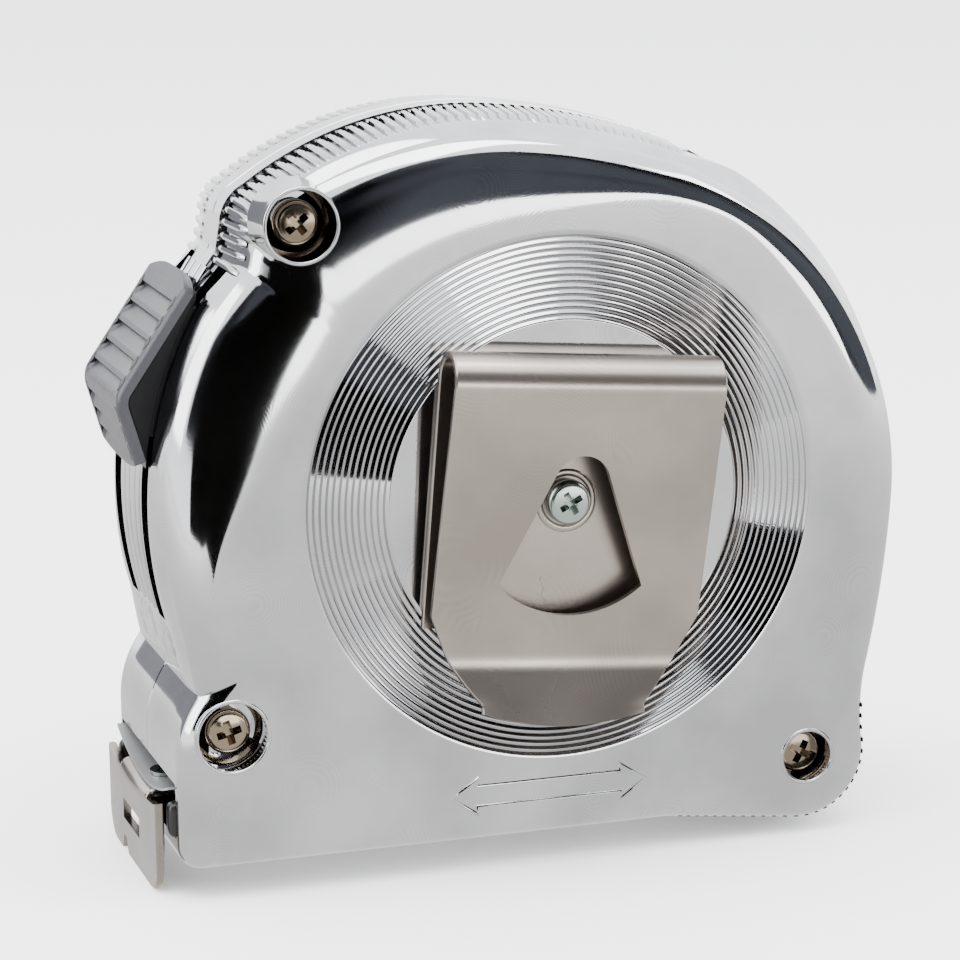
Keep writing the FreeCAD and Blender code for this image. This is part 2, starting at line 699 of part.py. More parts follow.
slider_block = prism("slider_block", slider_profile(size["cap_gauge"]), size["pad_half"])
LEG_SINK = 0.6
legs = []
for number, side in enumerate((-1, 1), start=1):
    leg = ring_sector(size["arm_outer"], slider_foot + LEG_SINK, LEG_START, LEG_END)
    narrow = size["slot_inner"] + size["slider_play"]
    wide = size["slot_outer"] - size["slider_play"]
    leg.translate(Vector(0, narrow if side > 0 else -wide, 0))
    made = doc.addObject("Part::Feature", f"slider_leg_{number}")
    made.Shape = leg.extrude(Vector(0, wide - narrow, 0))
    legs.append(made)
fuse("lock_slider", [slider_block] + legs)
cut("lock_cap", prism("cap_block", slider_profile(0), size["pad_half"]),
    [prism("cap_hollow", slider_profile(size["cap_gauge"]), size["pad_half"])])
arm_inner = size["arm_outer"] - size["arm_gauge"]
arm_tip = LEG_START + size["arm_span"]
prism("lock_arm", ring_sector(arm_inner, size["arm_outer"], LEG_START, arm_tip),
      size["slot_outer"] - size["slider_play"])
prism("brake_pad", ring_sector(arm_inner, size["arm_outer"], arm_tip, arm_tip + size["brake_span"]),
      size["brake_half"])

# ---- belt clip -----------------------------------------------------------------------------
fold = size["clip_fold_height"]
crease = -size["clip_crease_drop"]
lip = -size["clip_lip_drop"]
gauge = size["clip_gauge"]
BACK_LEAF_FOOT = -14.0
LIP_BEVEL = 0.3


def off(gap):
    return -half - gap


strip = doc.addObject("PartDesign::Body", "clip_strip")
fold_mid = off((size["clip_gap_top"] + gauge) / 2)
fold_out = (size["clip_gap_top"] + gauge) / 2
strip_curves = plane_curves(
    [(off(0), BACK_LEAF_FOOT), (off(0), fold), (off(size["clip_gap_top"] + gauge), fold),
     (off(size["clip_gap_crease"] + gauge), crease), (off(size["clip_gap_lip"] + gauge), lip),
     (off(size["clip_gap_lip"]), lip - LIP_BEVEL), (off(size["clip_gap_crease"]), crease),
     (off(size["clip_gap_top"]), fold), (off(gauge), fold), (off(gauge), BACK_LEAF_FOOT)],
    {1: (fold_mid, fold + fold_out), 7: (fold_mid, fold + fold_out - gauge)})
pad(strip, sketch(strip, "YZ_Plane", strip_curves), "sizes.clip_width", midplane=True)

edge = size["clip_width"] / 2
TAPER_START = -12.0
CREASE_INSET = 2.3
LIP_INSET = 5.9
LIP_BOW = 1.4
trim = doc.addObject("PartDesign::Body", "clip_trim")
trim_curves = plane_curves(
    [(-edge, fold + gauge + size["clip_gap_top"]), (edge, fold + gauge + size["clip_gap_top"]),
     (edge, TAPER_START), (edge - CREASE_INSET, crease), (edge - LIP_INSET, lip + LIP_BOW),
     (LIP_INSET - edge, lip + LIP_BOW), (CREASE_INSET - edge, crease), (-edge, TAPER_START)],
    {4: (0, lip)})
pad(trim, sketch(trim, "XZ_Plane", trim_curves), "4 * sizes.case_half", midplane=True)

fan = doc.addObject("PartDesign::Body", "clip_fan")
FAN_HALF_ANGLE = 45.0
FAN_DROP = 0.5
FAN_NECK_HALF = 3.0
FAN_NECK_RISE = 3.6
FAN_CROWN = 5.8
turn = math.radians(FAN_HALF_ANGLE)
fan_across = size["fan_radius"] * math.sin(turn)
fan_corner_drop = FAN_DROP + size["fan_radius"] * math.cos(turn)
fan_curves = plane_curves(
    [(-FAN_NECK_HALF, FAN_NECK_RISE), (FAN_NECK_HALF, FAN_NECK_RISE), (fan_across, -fan_corner_drop),
     (-fan_across, -fan_corner_drop)],
    {0: (0, FAN_CROWN), 2: (0, -FAN_DROP - size["fan_radius"])})
pad(fan, sketch(fan, "XZ_Plane", fan_curves, half + gauge + FAN_DROP), "sizes.case_half")

clip_hole = cylinder("clip_hole", "sizes.post_bore + 2 * sizes.running_play", "sizes.case_half",
                     Vector(0, -half - gauge - PIERCE, 0))
trimmed = doc.addObject("Part::MultiCommon", "clip_trimmed")
trimmed.Shapes = [strip, trim]
belt_clip = cut("belt_clip", trimmed, [fan, clip_hole])
belt_clip.Placement = Placement(reel, Rotation(Vector(0, 1, 0), size["clip_tilt"]))

# ---- far side label ------------------------------------------------------------------------
cylinder("label_disc", "sizes.label_radius", "sizes.label_gauge",
         reel + Vector(0, half - size["label_gauge"], 0))

# ---- export --------------------------------------------------------------------------------
NODES = [
    "clip_side_case", "label_side_case", "case_screws", "belt_clip", "clip_screw", "spool_post",
    "spool_drum", "spool_flange", "power_spring", "blade_coil", "blade_lead", "hook_rivets", "end_hook",
    "mouth_bumpers", "blade_guide", "lock_slider", "lock_cap", "lock_arm", "brake_pad", "label_disc",
]
doc.recompute()
for thing in doc.Objects:
    if "Invalid" in thing.State or "Error" in thing.State:
        raise RuntimeError(f"{thing.Label} failed: {thing.State}")
os.makedirs("parts", exist_ok=True)
for node in NODES:
    shape = doc.getObject(node).Shape
    if shape.isNull() or not shape.isValid():
        raise RuntimeError(f"{node} has no valid shape")
    shape.exportStep(f"parts/{node}.step")
    print(f"{node}: {len(shape.Solids)} solids, volume {shape.Volume:.1f}")
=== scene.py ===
import json
import math

import bmesh
import bpy
import numpy as np
from mathutils import Matrix, Vector


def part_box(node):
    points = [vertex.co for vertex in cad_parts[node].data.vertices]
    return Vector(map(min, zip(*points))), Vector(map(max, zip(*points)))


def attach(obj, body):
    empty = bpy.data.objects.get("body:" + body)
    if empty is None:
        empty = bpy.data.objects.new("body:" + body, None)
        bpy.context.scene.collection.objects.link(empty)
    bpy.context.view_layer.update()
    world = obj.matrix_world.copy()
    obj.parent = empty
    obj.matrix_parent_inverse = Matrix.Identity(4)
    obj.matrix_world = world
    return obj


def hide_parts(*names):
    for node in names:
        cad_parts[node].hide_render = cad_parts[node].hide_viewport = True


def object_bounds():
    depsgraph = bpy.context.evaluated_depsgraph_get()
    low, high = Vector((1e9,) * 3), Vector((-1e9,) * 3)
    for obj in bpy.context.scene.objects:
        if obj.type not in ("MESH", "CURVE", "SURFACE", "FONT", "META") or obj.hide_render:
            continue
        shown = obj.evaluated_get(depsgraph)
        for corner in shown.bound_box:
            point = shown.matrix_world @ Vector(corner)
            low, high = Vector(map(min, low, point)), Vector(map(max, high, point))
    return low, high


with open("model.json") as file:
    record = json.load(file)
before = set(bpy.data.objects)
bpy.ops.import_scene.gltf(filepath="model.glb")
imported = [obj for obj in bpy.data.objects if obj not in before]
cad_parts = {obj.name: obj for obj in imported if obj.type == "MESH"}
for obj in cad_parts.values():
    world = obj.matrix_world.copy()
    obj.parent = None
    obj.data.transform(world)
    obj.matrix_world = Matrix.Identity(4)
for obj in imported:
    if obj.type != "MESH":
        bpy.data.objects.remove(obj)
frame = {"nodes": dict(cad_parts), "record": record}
cad_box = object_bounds()

# ---- camera ----
# Set low on the clip side and a little to the mouth's side, with a long lens, about 0.37 m away.
# It aims beside the reel axis on the clip side's face.
MM = 0.001
joints = {joint["name"]: joint for joint in frame["record"]["behaviour"]["joints"]}
REEL_HEIGHT = joints["reel_turn"]["pos_m"][2] / MM
HALF = -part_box("clip_side_case")[0].y / MM
AZIMUTH = math.radians(-17.8)
ELEVATION = math.radians(12.8)
ROLL = math.radians(0.6)
LENS = 131.25
AIM_RIGHT = 8.91
AIM_DOWN = 1.985
DISTANCE = 373.46

level_right = Vector((math.cos(AZIMUTH), math.sin(AZIMUTH), 0))
forward = Vector((-math.sin(AZIMUTH) * math.cos(ELEVATION), math.cos(AZIMUTH) * math.cos(ELEVATION),
                  -math.sin(ELEVATION)))
level_up = level_right.cross(forward)
right = math.cos(ROLL) * level_right - math.sin(ROLL) * level_up
up = math.sin(ROLL) * level_right + math.cos(ROLL) * level_up
face_centre = Vector((0, -HALF, REEL_HEIGHT))
eye = face_centre - AIM_RIGHT * right + AIM_DOWN * up - DISTANCE * forward
camera_data = bpy.data.cameras.new("camera")
camera_data.lens = LENS
camera_data.sensor_width = 36
camera_data.clip_start = 0.01
camera = bpy.data.objects.new("camera", camera_data)
bpy.context.collection.objects.link(camera)
camera.matrix_world = Matrix.Translation(eye * MM) @ Matrix((right, up, -forward)).transposed().to_4x4()
bpy.context.scene.camera = camera


# ---- floor and studio ----
# A pale floor under a pale sky, a large soft lamp overhead and two softer ones at the sides.
# Dark cards stand out of sight in front, because bright plating looks like what is round it.
def new_piece(name, points, faces, crease=30.0):
    """A mesh object at the origin from points in millimetres; edges sharper than the crease stay crisp."""
    mesh = bpy.data.meshes.new(name)
    mesh.from_pydata((np.asarray(points, float).reshape(-1, 3) * MM).tolist(), [], [list(f) for f in faces])
    work = bmesh.new()
    work.from_mesh(mesh)
    bmesh.ops.remove_doubles(work, verts=work.verts, dist=1e-7)
    bmesh.ops.recalc_face_normals(work, faces=work.faces)
    work.to_mesh(mesh)
    work.free()
    mesh.polygons.foreach_set("use_smooth", [True] * len(mesh.polygons))
    mesh.set_sharp_from_angle(angle=math.radians(crease))
    made = bpy.data.objects.new(name, mesh)
    bpy.context.collection.objects.link(made)
    return made


def grid_faces(rows, columns, wrap_rows=False, wrap_columns=False):
    """Quads between the points of a grid counted row by row; a wrapped side joins its last line to its first
    one."""
    index = np.arange(rows * columns).reshape(rows, columns)
    if wrap_rows:
        index = np.vstack([index, index[:1]])
    if wrap_columns:
        index = np.hstack([index, index[:, :1]])
    corners = [index[:-1, :-1], index[1:, :-1], index[1:, 1:], index[:-1, 1:]]
    return np.stack(corners, -1).reshape(-1, 4)


def plain_material(name, colour, metallic=0.0, roughness=0.5):
    """A material with its shader's own sockets set; returns the material, its node tree and its shader."""
    made = bpy.data.materials.new(name)
    made.use_nodes = True
    surface = made.node_tree.nodes["Principled BSDF"]
    surface.inputs["Base Color"].default_value = (*colour, 1)
    surface.inputs["Metallic"].default_value = metallic
    surface.inputs["Roughness"].default_value = roughness
    return made, made.node_tree, surface


def node(tree, kind, settings=None, **sockets):
    """A node with its settings and its sockets; a socket given another node's output is linked to it."""
    made = tree.nodes.new(kind)
    for key, value in (settings or {}).items():
        setattr(made, key, value)
    for key, value in sockets.items():
        socket = made.inputs[int(key[1:])] if key[1:].isdigit() else made.inputs[key.replace("_", " ")]
        if isinstance(value, bpy.types.NodeSocket):
            tree.links.new(value, socket)
        else:
            socket.default_value = value
    return made


def spread_node(tree, value, low, high, to_low=0.0, to_high=1.0):
    """A value between low and high carried straight onto the span from to_low to to_high."""
    return node(tree, "ShaderNodeMapRange", i0=value, i1=low, i2=high, i3=to_low, i4=to_high).outputs[0]


FLOOR_HALF = 4000.0
FLOOR_Z = cad_box[0].z / MM
floor_corners = [(-FLOOR_HALF, -FLOOR_HALF, FLOOR_Z), (FLOOR_HALF, -FLOOR_HALF, FLOOR_Z),
                 (FLOOR_HALF, FLOOR_HALF, FLOOR_Z), (-FLOOR_HALF, FLOOR_HALF, FLOOR_Z)]
floor = new_piece("floor", floor_corners, [(0, 1, 2, 3)])
floor.data.materials.append(plain_material("floor_paper", (0.93, 0.93, 0.93), roughness=0.8)[0])

world = bpy.data.worlds.new("studio")
world.use_nodes = True
sky = world.node_tree.nodes["Background"]
sky.inputs["Color"].default_value = (0.97, 0.98, 1.0, 1)
sky.inputs["Strength"].default_value = 3.2
bpy.context.scene.world = world


def soft_lamp(name, place, aim, width, height, watts):
    """A rectangular lamp at a place, turned to face its aim, both in millimetres."""
    data = bpy.data.lights.new(name, "AREA")
    data.shape = "RECTANGLE"
    data.size = width * MM
    data.size_y = height * MM
    data.energy = watts
    lamp = bpy.data.objects.new(name, data)
    lamp.location = Vector(place) * MM
    lamp.rotation_euler = (Vector(aim) - Vector(place)).to_track_quat("-Z", "Y").to_euler()
    bpy.context.collection.objects.link(lamp)


soft_lamp("lamp_over", (-100, -150, 900), (0, 0, 40), 900, 700, 16)
soft_lamp("lamp_left", (-800, 100, 350), (0, 0, 40), 500, 500, 5)
soft_lamp("lamp_right", (700, -300, 500), (0, 0, 40), 400, 600, 4)


def only_in_shine(made, finish):
    """Give a card its finish and hide it from the camera, diffuse light and shadows, so that it shows in
    reflections and nowhere else.
    """
    made.data.materials.append(finish)
    made.visible_camera = False
    made.visible_diffuse = False
    made.visible_shadow = False


CARD_COLUMNS = 49


def card(name, finish, radius, azimuths, lows, highs):
    """A curved card round the object: its low and high edges are read at each azimuth, which is 0 in front of
    the clip side and grows towards the rear."""
    turn = np.linspace(azimuths[0], azimuths[-1], CARD_COLUMNS)
    ring = radius * np.stack([np.sin(np.radians(turn)), -np.cos(np.radians(turn))], -1)
    rims = [np.column_stack([ring, np.interp(turn, azimuths, heights)]) for heights in (lows, highs)]
    points = np.concatenate(rims)
    only_in_shine(new_piece(name, points, grid_faces(2, CARD_COLUMNS)), finish)


def glow(name, colour, strength):
    """A card finish that only shines."""
    made, tree, surface = plain_material(name, (0, 0, 0), roughness=1.0)
    surface.inputs["Specular IOR Level"].default_value = 0
    surface.inputs["Emission Color"].default_value = (*colour, 1)
    surface.inputs["Emission Strength"].default_value = strength
    return made


def clouded(made, dark, bright, scale):
    """Give a shining card soft clouds: a slow noise runs its strength from dark to bright."""
    tree = made.node_tree
    place = node(tree, "ShaderNodeTexCoord").outputs["Object"]
    noise = node(tree, "ShaderNodeTexNoise", Vector=place, Scale=scale).outputs["Fac"]
    strength = spread_node(tree, noise, 0.42, 0.62, dark, bright)
    tree.links.new(strength, tree.nodes["Principled BSDF"].inputs["Emission Strength"])
    return made


front_cloth = clouded(glow("front_cloth", (0.78, 0.84, 1.0), 0.02), 0.004, 0.15, 2.2)
near_cloth = glow("near_cloth", (1.0, 0.8, 0.7), 0.004)
white_cloth = glow("white_cloth", (1.0, 1.0, 1.0), 7.0)
grey_cloth = glow("grey_cloth", (0.9, 0.92, 1.0), 0.5)
card("card_front", front_cloth, 620, [-76, -62, -40, 0, 60, 88], [110, 90, 20, 8, 8, 30],
     [330, 420, 560, 700, 640, 300])
card("card_near", near_cloth, 175, [-62, -38, -12], [38, 32, -2], [120, 120, 120])
card("card_grey", grey_cloth, 640, [-160, -122], [-3, -3], [260, 260])
card("card_strip", white_cloth, 600, [-4, 44], [-2, -2], [90, 90])

# The paper as bright things see it: greyer close to the object, where it stands in its own shade.
SHADE_NEAR = 0.12
SHADE_FAR = 0.75
SHADE_DARK = 1.45
SHADE_LIGHT = 2.6
grey_floor = glow("floor_shade", (1.0, 0.995, 0.985), 1.0)
tree = grey_floor.node_tree
place = node(tree, "ShaderNodeTexCoord").outputs["Object"]
away = node(tree, "ShaderNodeVectorMath", {"operation": "LENGTH"}, i0=place).outputs["Value"]
fade = spread_node(tree, away, SHADE_NEAR, SHADE_FAR, SHADE_DARK, SHADE_LIGHT)
tree.links.new(fade, tree.nodes["Principled BSDF"].inputs["Emission Strength"])
shade_corners = [(x * 0.9, y * 0.9, FLOOR_Z + 0.05) for x, y, _ in floor_corners]
only_in_shine(new_piece("floor_shade", shade_corners, [(0, 1, 2, 3)]), grey_floor)


# ---- case halves ----
# Two dished shells of moulded plastic, plated bright and held by three screws from the clip side.
# Each is one skin carried round the side outline: seam, grip band, rolled shoulder, flat face.
FRONT = -42.6
FRONT_RADIUS = 43.5
REAR_RADIUS = 39.8
HUMP = complex(-7.57, 0.87)
HUMP_RADIUS = 40.44
HEEL = complex(28.5, -31.7)
HEEL_RADIUS = 7.6
FOOT = 2.4
WALL = 2.2
ROW_STEP = 0.75
FRONT_STEP = 0.36


def polar(radius, degrees, centre=0j):
    """A point on a circle: the centre plus the radius turned to the angle, from +X towards +Z."""
    return centre + radius * np.exp(1j * np.radians(degrees))


def arc(start, middle, end, step=ROW_STEP):
    """Points of the circle through three points, from the first to just before the last.
    The centre is where the perpendicular bisectors of the chords meet; the angle grows evenly."""
    ratio = (end - start) / (middle - start)
    centre = start - (start - middle) * (ratio - abs(ratio) ** 2) / (2j * ratio.imag)
    radius = abs(start - centre)
    sweep = np.angle((end - centre) / (start - centre)) % (2 * np.pi)
    if np.angle((middle - centre) / (start - centre)) % (2 * np.pi) > sweep:
        sweep -= 2 * np.pi
    count = int(max(abs(sweep) * radius / step, abs(math.degrees(sweep)) / 7, 2))
    return centre + (start - centre) * np.exp(1j * sweep * np.arange(count) / count)


def line(start, end, step=ROW_STEP):
    """Even points of a straight run, from the first to just before the last."""
    count = int(max(abs(end - start) / step, 1))
    return start + (end - start) * np.arange(count) / count


def side_outline():
    """The case seen from the side, as complex x + iz about the reel axis, from the front foot clockwise."""
    base = -REEL_HEIGHT
    toe_low, toe_high = complex(FRONT + FOOT, base), complex(FRONT, base + FOOT)
    toe_mid = complex(FRONT + FOOT * 0.293, base + FOOT * 0.293)
    nose_low, nose_mid, nose_high = FRONT - 26.5j, FRONT + 0.55 - 22j, FRONT + 2.3 - 18.5j
    track_low, track_mid, track_high = polar(FRONT_RADIUS, np.array([197.5, 170, 142]))
    brow = -33.8 + 29.6j
    hump_start, hump_mid, hump_end = polar(HUMP_RADIUS, np.array([125.5, 104, 83.5]), HUMP)
    back_start, back_mid, back_end = polar(REAR_RADIUS, np.array([70, 32, -5]))
    waist = REAR_RADIUS - 3.2 - 22j
    heel_start, heel_mid, heel_end = polar(HEEL_RADIUS, np.array([5, -46, -96.6]), HEEL)
    sole = complex(12.5, base)
    return np.concatenate([
        arc(toe_low, toe_mid, toe_high),
        line(toe_high, nose_low),
        arc(nose_low, nose_mid, nose_high, FRONT_STEP),
        line(nose_high, track_low, FRONT_STEP),
        arc(track_low, track_mid, track_high, FRONT_STEP),
        line(track_high, brow, FRONT_STEP),
        arc(brow, (brow + hump_start) / 2 + (-0.55 + 0.4j), hump_start, FRONT_STEP),
        arc(hump_start, hump_mid, hump_end),
        arc(hump_end, (hump_end + back_start) / 2 + (0.11 + 0.49j), back_start),
        arc(back_start, back_mid, back_end),
        arc(back_end, (back_end + waist) / 2 + (0.35 - 0.06j), waist),
        arc(waist, (waist + heel_start) / 2 + (-0.41 + 0.02j), heel_start),
        arc(heel_start, heel_mid, heel_end),
        line(heel_end, sole),
        line(sole, toe_low),
    ])


edge = side_outline()
tangent = np.roll(edge, -1) - np.roll(edge, 1)
tangent /= abs(tangent)
outward = tangent * 1j
outward *= np.sign((outward * edge.conj()).real)
edge_radius = abs(edge)
edge_ray = edge / edge_radius
edge_angle = np.degrees(np.angle(edge)) % 360
slant = np.clip((outward * edge_ray.conj()).real, 0.55, 1)
by_angle = np.argsort(edge_angle)


def round_reel(stations, angles=edge_angle, blur=5.0):
    """A value at every angle from a few (angle, value) stations: straight between them, then blurred round
    the circle with a bell curve so that no kink shows in the plating."""
    at, value = np.array(stations).T
    fine = np.interp(np.arange(0, 360, 0.5), at, value, period=360)
    reach = np.arange(-60, 61) * 0.5
    bell = np.exp(-0.5 * (reach / blur) ** 2)
    fine = np.convolve(np.concatenate([fine[-60:], fine, fine[:60]]), bell / bell.sum(), "valid")
    return np.interp(angles, np.arange(0, 360, 0.5), fine, period=360)


SHOULDER_WIDTH = [(0, 5.7), (20, 5.8), (38, 5.9), (56, 4.8), (71, 6.3), (82, 8.4), (94, 10.4), (107, 12.1),
                  (128, 14.0), (145, 13.9), (160, 12.8), (172, 11.0), (180, 7.6), (190, 4.2), (205, 3.0),
                  (222, 2.4), (270, 2.4), (300, 2.6), (316, 3.0), (332, 4.6), (346, 5.3)]
CREASE_INSET = [(0, 0.3), (30, 1.2), (55, 1.9), (70, 2.3), (90, 2.4), (115, 2.6), (134, 2.0), (148, 1.1),
                (172, 0.9), (186, 0.7), (198, 0.3), (210, 0), (330, 0)]
CREASE_DEPTH = [(0, 3.0), (90, 3.0), (118, 3.1), (130, 3.8), (145, 5.0), (176, 5.2), (188, 4.0), (205, 2.6),
                (300, 2.4), (330, 3.0)]
CREASE_LEAN = [(0, 90), (110, 90), (140, 80), (178, 78), (200, 88), (300, 90)]
FLANK_DEPTH = [(0, 6.0), (60, 5.2), (134, 5.4), (146, 7.7), (180, 7.7), (194, 6.0), (300, 6.0)]
RIB_START = 66.0
RIB_END = 143.0
BAND_STATIONS = [(RIB_START - 8, 0), (RIB_START, 1), (RIB_END + 1, 1), (RIB_END + 6, 0), (300, 0)]
STRIP_EDGE = 13.0
RIB_FOOT = 5.4
STRIP_STEP = 0.5
BAND_FALL = 1.15
POCKETS = [(complex(-28.2, 30.9), 3.7, 3.6), (complex(-36.8, -22.8), 3.7, 3.6), (HEEL, 2.8, 3.6)]
FACE_MARGIN = 0.9
RINGS_OUTER = 28.5
RINGS_INNER = 19.4
RING_PITCH = 0.7
RING_DEPTH = 0.26

shoulder = round_reel(SHOULDER_WIDTH)
crease_in = round_reel(CREASE_INSET)
crease_deep = round_reel(CREASE_DEPTH)
crease_lean = np.radians(round_reel(CREASE_LEAN))
flank_deep = np.maximum(round_reel(FLANK_DEPTH, blur=3.0), crease_deep + 0.6)
ribbed = np.clip(round_reel(BAND_STATIONS, blur=1.5), 0, 1)
round_edge = round_reel(list(zip(edge_angle[by_angle], edge_radius[by_angle])), blur=6.0)
on_base = np.clip(round_reel([(0, 0), (184, 0), (200, 1), (335, 1), (352, 0)], blur=3.0), 0, 1)
face_edge = on_base * (edge_radius - shoulder / slant) + (1 - on_base) * (round_edge - shoulder)
face_edge = np.maximum(face_edge, RINGS_OUTER + FACE_MARGIN)


def band_inset(depth):
    """How far the edge band stands in from the outline at a depth from the flat side: a small step at the
    seam strip, then an even fall outwards where the ribs are."""
    fall = np.clip((STRIP_EDGE - depth) / (STRIP_EDGE - RIB_FOOT), 0, 1)
    return ribbed * (STRIP_STEP + (BAND_FALL - STRIP_STEP) * fall)


def shell_skin(rings_inner, label_seat):
    """The whole closed skin of a half as (radius, depth) columns for every outline point.
    The shoulder is part of an ellipse: from the crease, where it leans at a given angle, the sine of the
    falling angle gives the way in and its cosine the way up to the flat face. The rings are a raised cosine
    of the radius; the inside follows at the wall's thickness, with straight runs."""
    columns = [(edge_radius - 0.16 / slant, HALF + 0 * slant), (edge_radius, HALF - 0.16 + 0 * slant)]
    for depth in np.linspace(HALF - 1.2, STRIP_EDGE, 3):
        columns.append((edge_radius, depth + 0 * slant))
    for step in np.linspace(0, 1, 6):
        depth = STRIP_EDGE - 0.02 + (flank_deep - STRIP_EDGE + 0.02) * step
        columns.append((edge_radius - band_inset(depth) / slant, depth))
    foot = band_inset(flank_deep)
    crease_radius = edge_radius - np.maximum(crease_in, foot) / slant
    for step in np.linspace(0, 1, 8)[1:]:
        inset = foot + (np.maximum(crease_in, foot) - foot) * step ** 1.2
        columns.append((edge_radius - inset / slant, flank_deep + (crease_deep - flank_deep) * step))
    for share in np.linspace(1, 0, 27)[1:]:
        lean = crease_lean * share
        way_in = 1 - np.sin(lean) / np.sin(crease_lean)
        columns.append((crease_radius + (face_edge - crease_radius) * way_in,
                        crease_deep * (1 - np.cos(lean)) / (1 - np.cos(crease_lean))))
    for step in np.linspace(0, 1, 9)[1:]:
        columns.append((face_edge + (RINGS_OUTER + 0.5 - face_edge) * step, 0 * slant))
    count = int(round((RINGS_OUTER - rings_inner) / RING_PITCH))
    for step in np.linspace(0, count, count * 6 + 1):
        depth = RING_DEPTH * 0.5 * (1 - math.cos(2 * math.pi * step))
        columns.append((RINGS_OUTER - RING_PITCH * step + 0 * slant, depth + 0 * slant))
    for radius in (rings_inner - 0.1, rings_inner * 0.6, 0.0):
        columns.append((radius + 0 * slant, label_seat + 0 * slant))
    inner = [(0 * slant, WALL + 0.3 + 0 * slant), (20 + 0 * slant, WALL + 0.3 + 0 * slant),
             (edge_radius - (shoulder + WALL) / slant, WALL + 0.1 + 0 * slant),
             (edge_radius - (crease_in + 2.9) / slant, crease_deep + 2.4),
             (edge_radius - (crease_in * 0.3 + WALL + 0.8) / slant, flank_deep + 2.5),
             (edge_radius - WALL / slant, HALF + 0 * slant)]
    radius, depth = (np.stack(part, -1) for part in zip(*(columns + inner)))
    return radius, depth


def upright(place, y):
    """Reel-centred side positions and y in millimetres to points in the row's frame."""
    return np.stack([place.real, np.broadcast_to(y, place.shape), place.imag + REEL_HEIGHT], -1)


def tube_faces(rows, columns):
    """Faces of a closed tube of rings: quads all round and a flat face at each end."""
    index = np.arange(rows * columns).reshape(rows, columns)
    return [*grid_faces(rows, columns, wrap_columns=True), index[0], index[-1]]


def prism(name, first, second):
    """A closed solid between two rings that have the same number of points."""
    return new_piece(name, np.concatenate([first, second]), tube_faces(2, len(first)))


def cylinder_cutter(spot, radius, y_from, y_to, segments=48):
    """A round bar along Y about the spot."""
    ring = polar(radius, np.arange(segments) * 360 / segments, spot)
    return prism("cutter", upright(ring, y_from), upright(ring, y_to))


def sector_cutter(inner, outer, start, end, y_from, y_to):
    """A curved bar between two radii and two angles about the reel axis."""
    turn = np.linspace(start, end, 60)
    ring = np.concatenate([polar(inner, turn), polar(outer, turn[::-1])])
    return prism("cutter", upright(ring, y_from), upright(ring, y_to))


def block_points(low, high):
    """The eight corners of a box."""
    (x_low, y_low, z_low), (x_high, y_high, z_high) = low, high
    return np.array([[x, y, z] for x in (x_low, x_high) for y in (y_low, y_high) for z in (z_low, z_high)])


BLOCK_FACES = np.array([(0, 1, 3, 2), (4, 6, 7, 5), (0, 4, 5, 1), (2, 3, 7, 6), (0, 2, 6, 4), (1, 5, 7, 3)])


def carve(piece, *cutters, crease=35):
    """Take each cutter's solid away from the piece for good; edges sharper than the crease stay crisp."""
    for cutter in cutters:
        change = piece.modifiers.new("carve", "BOOLEAN")
        change.operation = "DIFFERENCE"
        change.solver = "MANIFOLD"
        change.object = cutter
        shaped = bpy.data.meshes.new_from_object(piece.evaluated_get(bpy.context.evaluated_depsgraph_get()))
        piece.modifiers.clear()
        piece.data = shaped
        bpy.data.objects.remove(cutter)
    piece.data.set_sharp_from_angle(angle=math.radians(crease))


RIB_COUNT = 50
RIB_WIDTH = 0.96
RIB_HEIGHT = 0.58
rib_rows = np.interp(np.linspace(RIB_END, RIB_START, RIB_COUNT), edge_angle[by_angle], by_angle)
SLOT_NEAR = 5.0
SLOT_FAR = 8.0
SLOT_ENDS = (143.5, 195.5)
MOUTH_HALF = 13.0
MOUTH_LOW = 3.2
MOUTH_HIGH = 9.3


def along_edge(values, rows):
    """Values read between the outline's points, in straight shares of the two nearest."""
    low = np.floor(rows).astype(int) % len(edge)
    part = rows - np.floor(rows)
    return values[low] * (1 - part) + values[(low + 1) % len(edge)] * part


def case_half(name, side, rings_inner, label_seat):
    """One shell; side is -1 for the clip side. Its slot and mouth are cut from the skin, and on the clip side
    its screw pockets.
    """
    radius, depth = shell_skin(rings_inner, label_seat)
    points = upright(radius * edge_ray[:, None], side * (HALF - depth))
    piece = new_piece(name, points, grid_faces(*radius.shape, wrap_rows=True, wrap_columns=True))
    cutters = [sector_cutter(FRONT_RADIUS - 5, FRONT_RADIUS + 2, *SLOT_ENDS,
                             side * SLOT_NEAR, side * SLOT_FAR),
               new_piece("cutter", block_points((-48, -MOUTH_HALF, MOUTH_LOW), (-37, MOUTH_HALF, MOUTH_HIGH)),
                         BLOCK_FACES)]
    if side < 0:
        cutters += [cylinder_cutter(spot, hole, -HALF - 1, -HALF + deep) for spot, hole, deep in POCKETS]
    carve(piece, *cutters, crease=32)
    return piece


def texture_group(name, sockets_in, sockets_out):
    """An empty shader group with float inputs and outputs; returns its tree, its input and output nodes."""
    tree = bpy.data.node_groups.new(name, "ShaderNodeTree")
    for label, value in sockets_in.items():
        tree.interface.new_socket(label, in_out="INPUT", socket_type="NodeSocketFloat").default_value = value
    for label in sockets_out:
        tree.interface.new_socket(label, in_out="OUTPUT", socket_type="NodeSocketFloat")
    return tree, tree.nodes.new("NodeGroupInput"), tree.nodes.new("NodeGroupOutput")


def mixed_colour(tree, share, first, second):
    """Two colours mixed by a share; each is a colour or another node's output."""
    first, second = ((*value, 1) if isinstance(value, tuple) else value for value in (first, second))
    return node(tree, "ShaderNodeMix", {"data_type": "RGBA"}, i0=share, i6=first, i7=second).outputs[2]


def math_node(tree, operation, *values):
    """The result of a sum, product or comparison of the values."""
    return node(tree, "ShaderNodeMath", {"operation": operation},
                **{f"i{number}": value for number, value in enumerate(values)}).outputs[0]


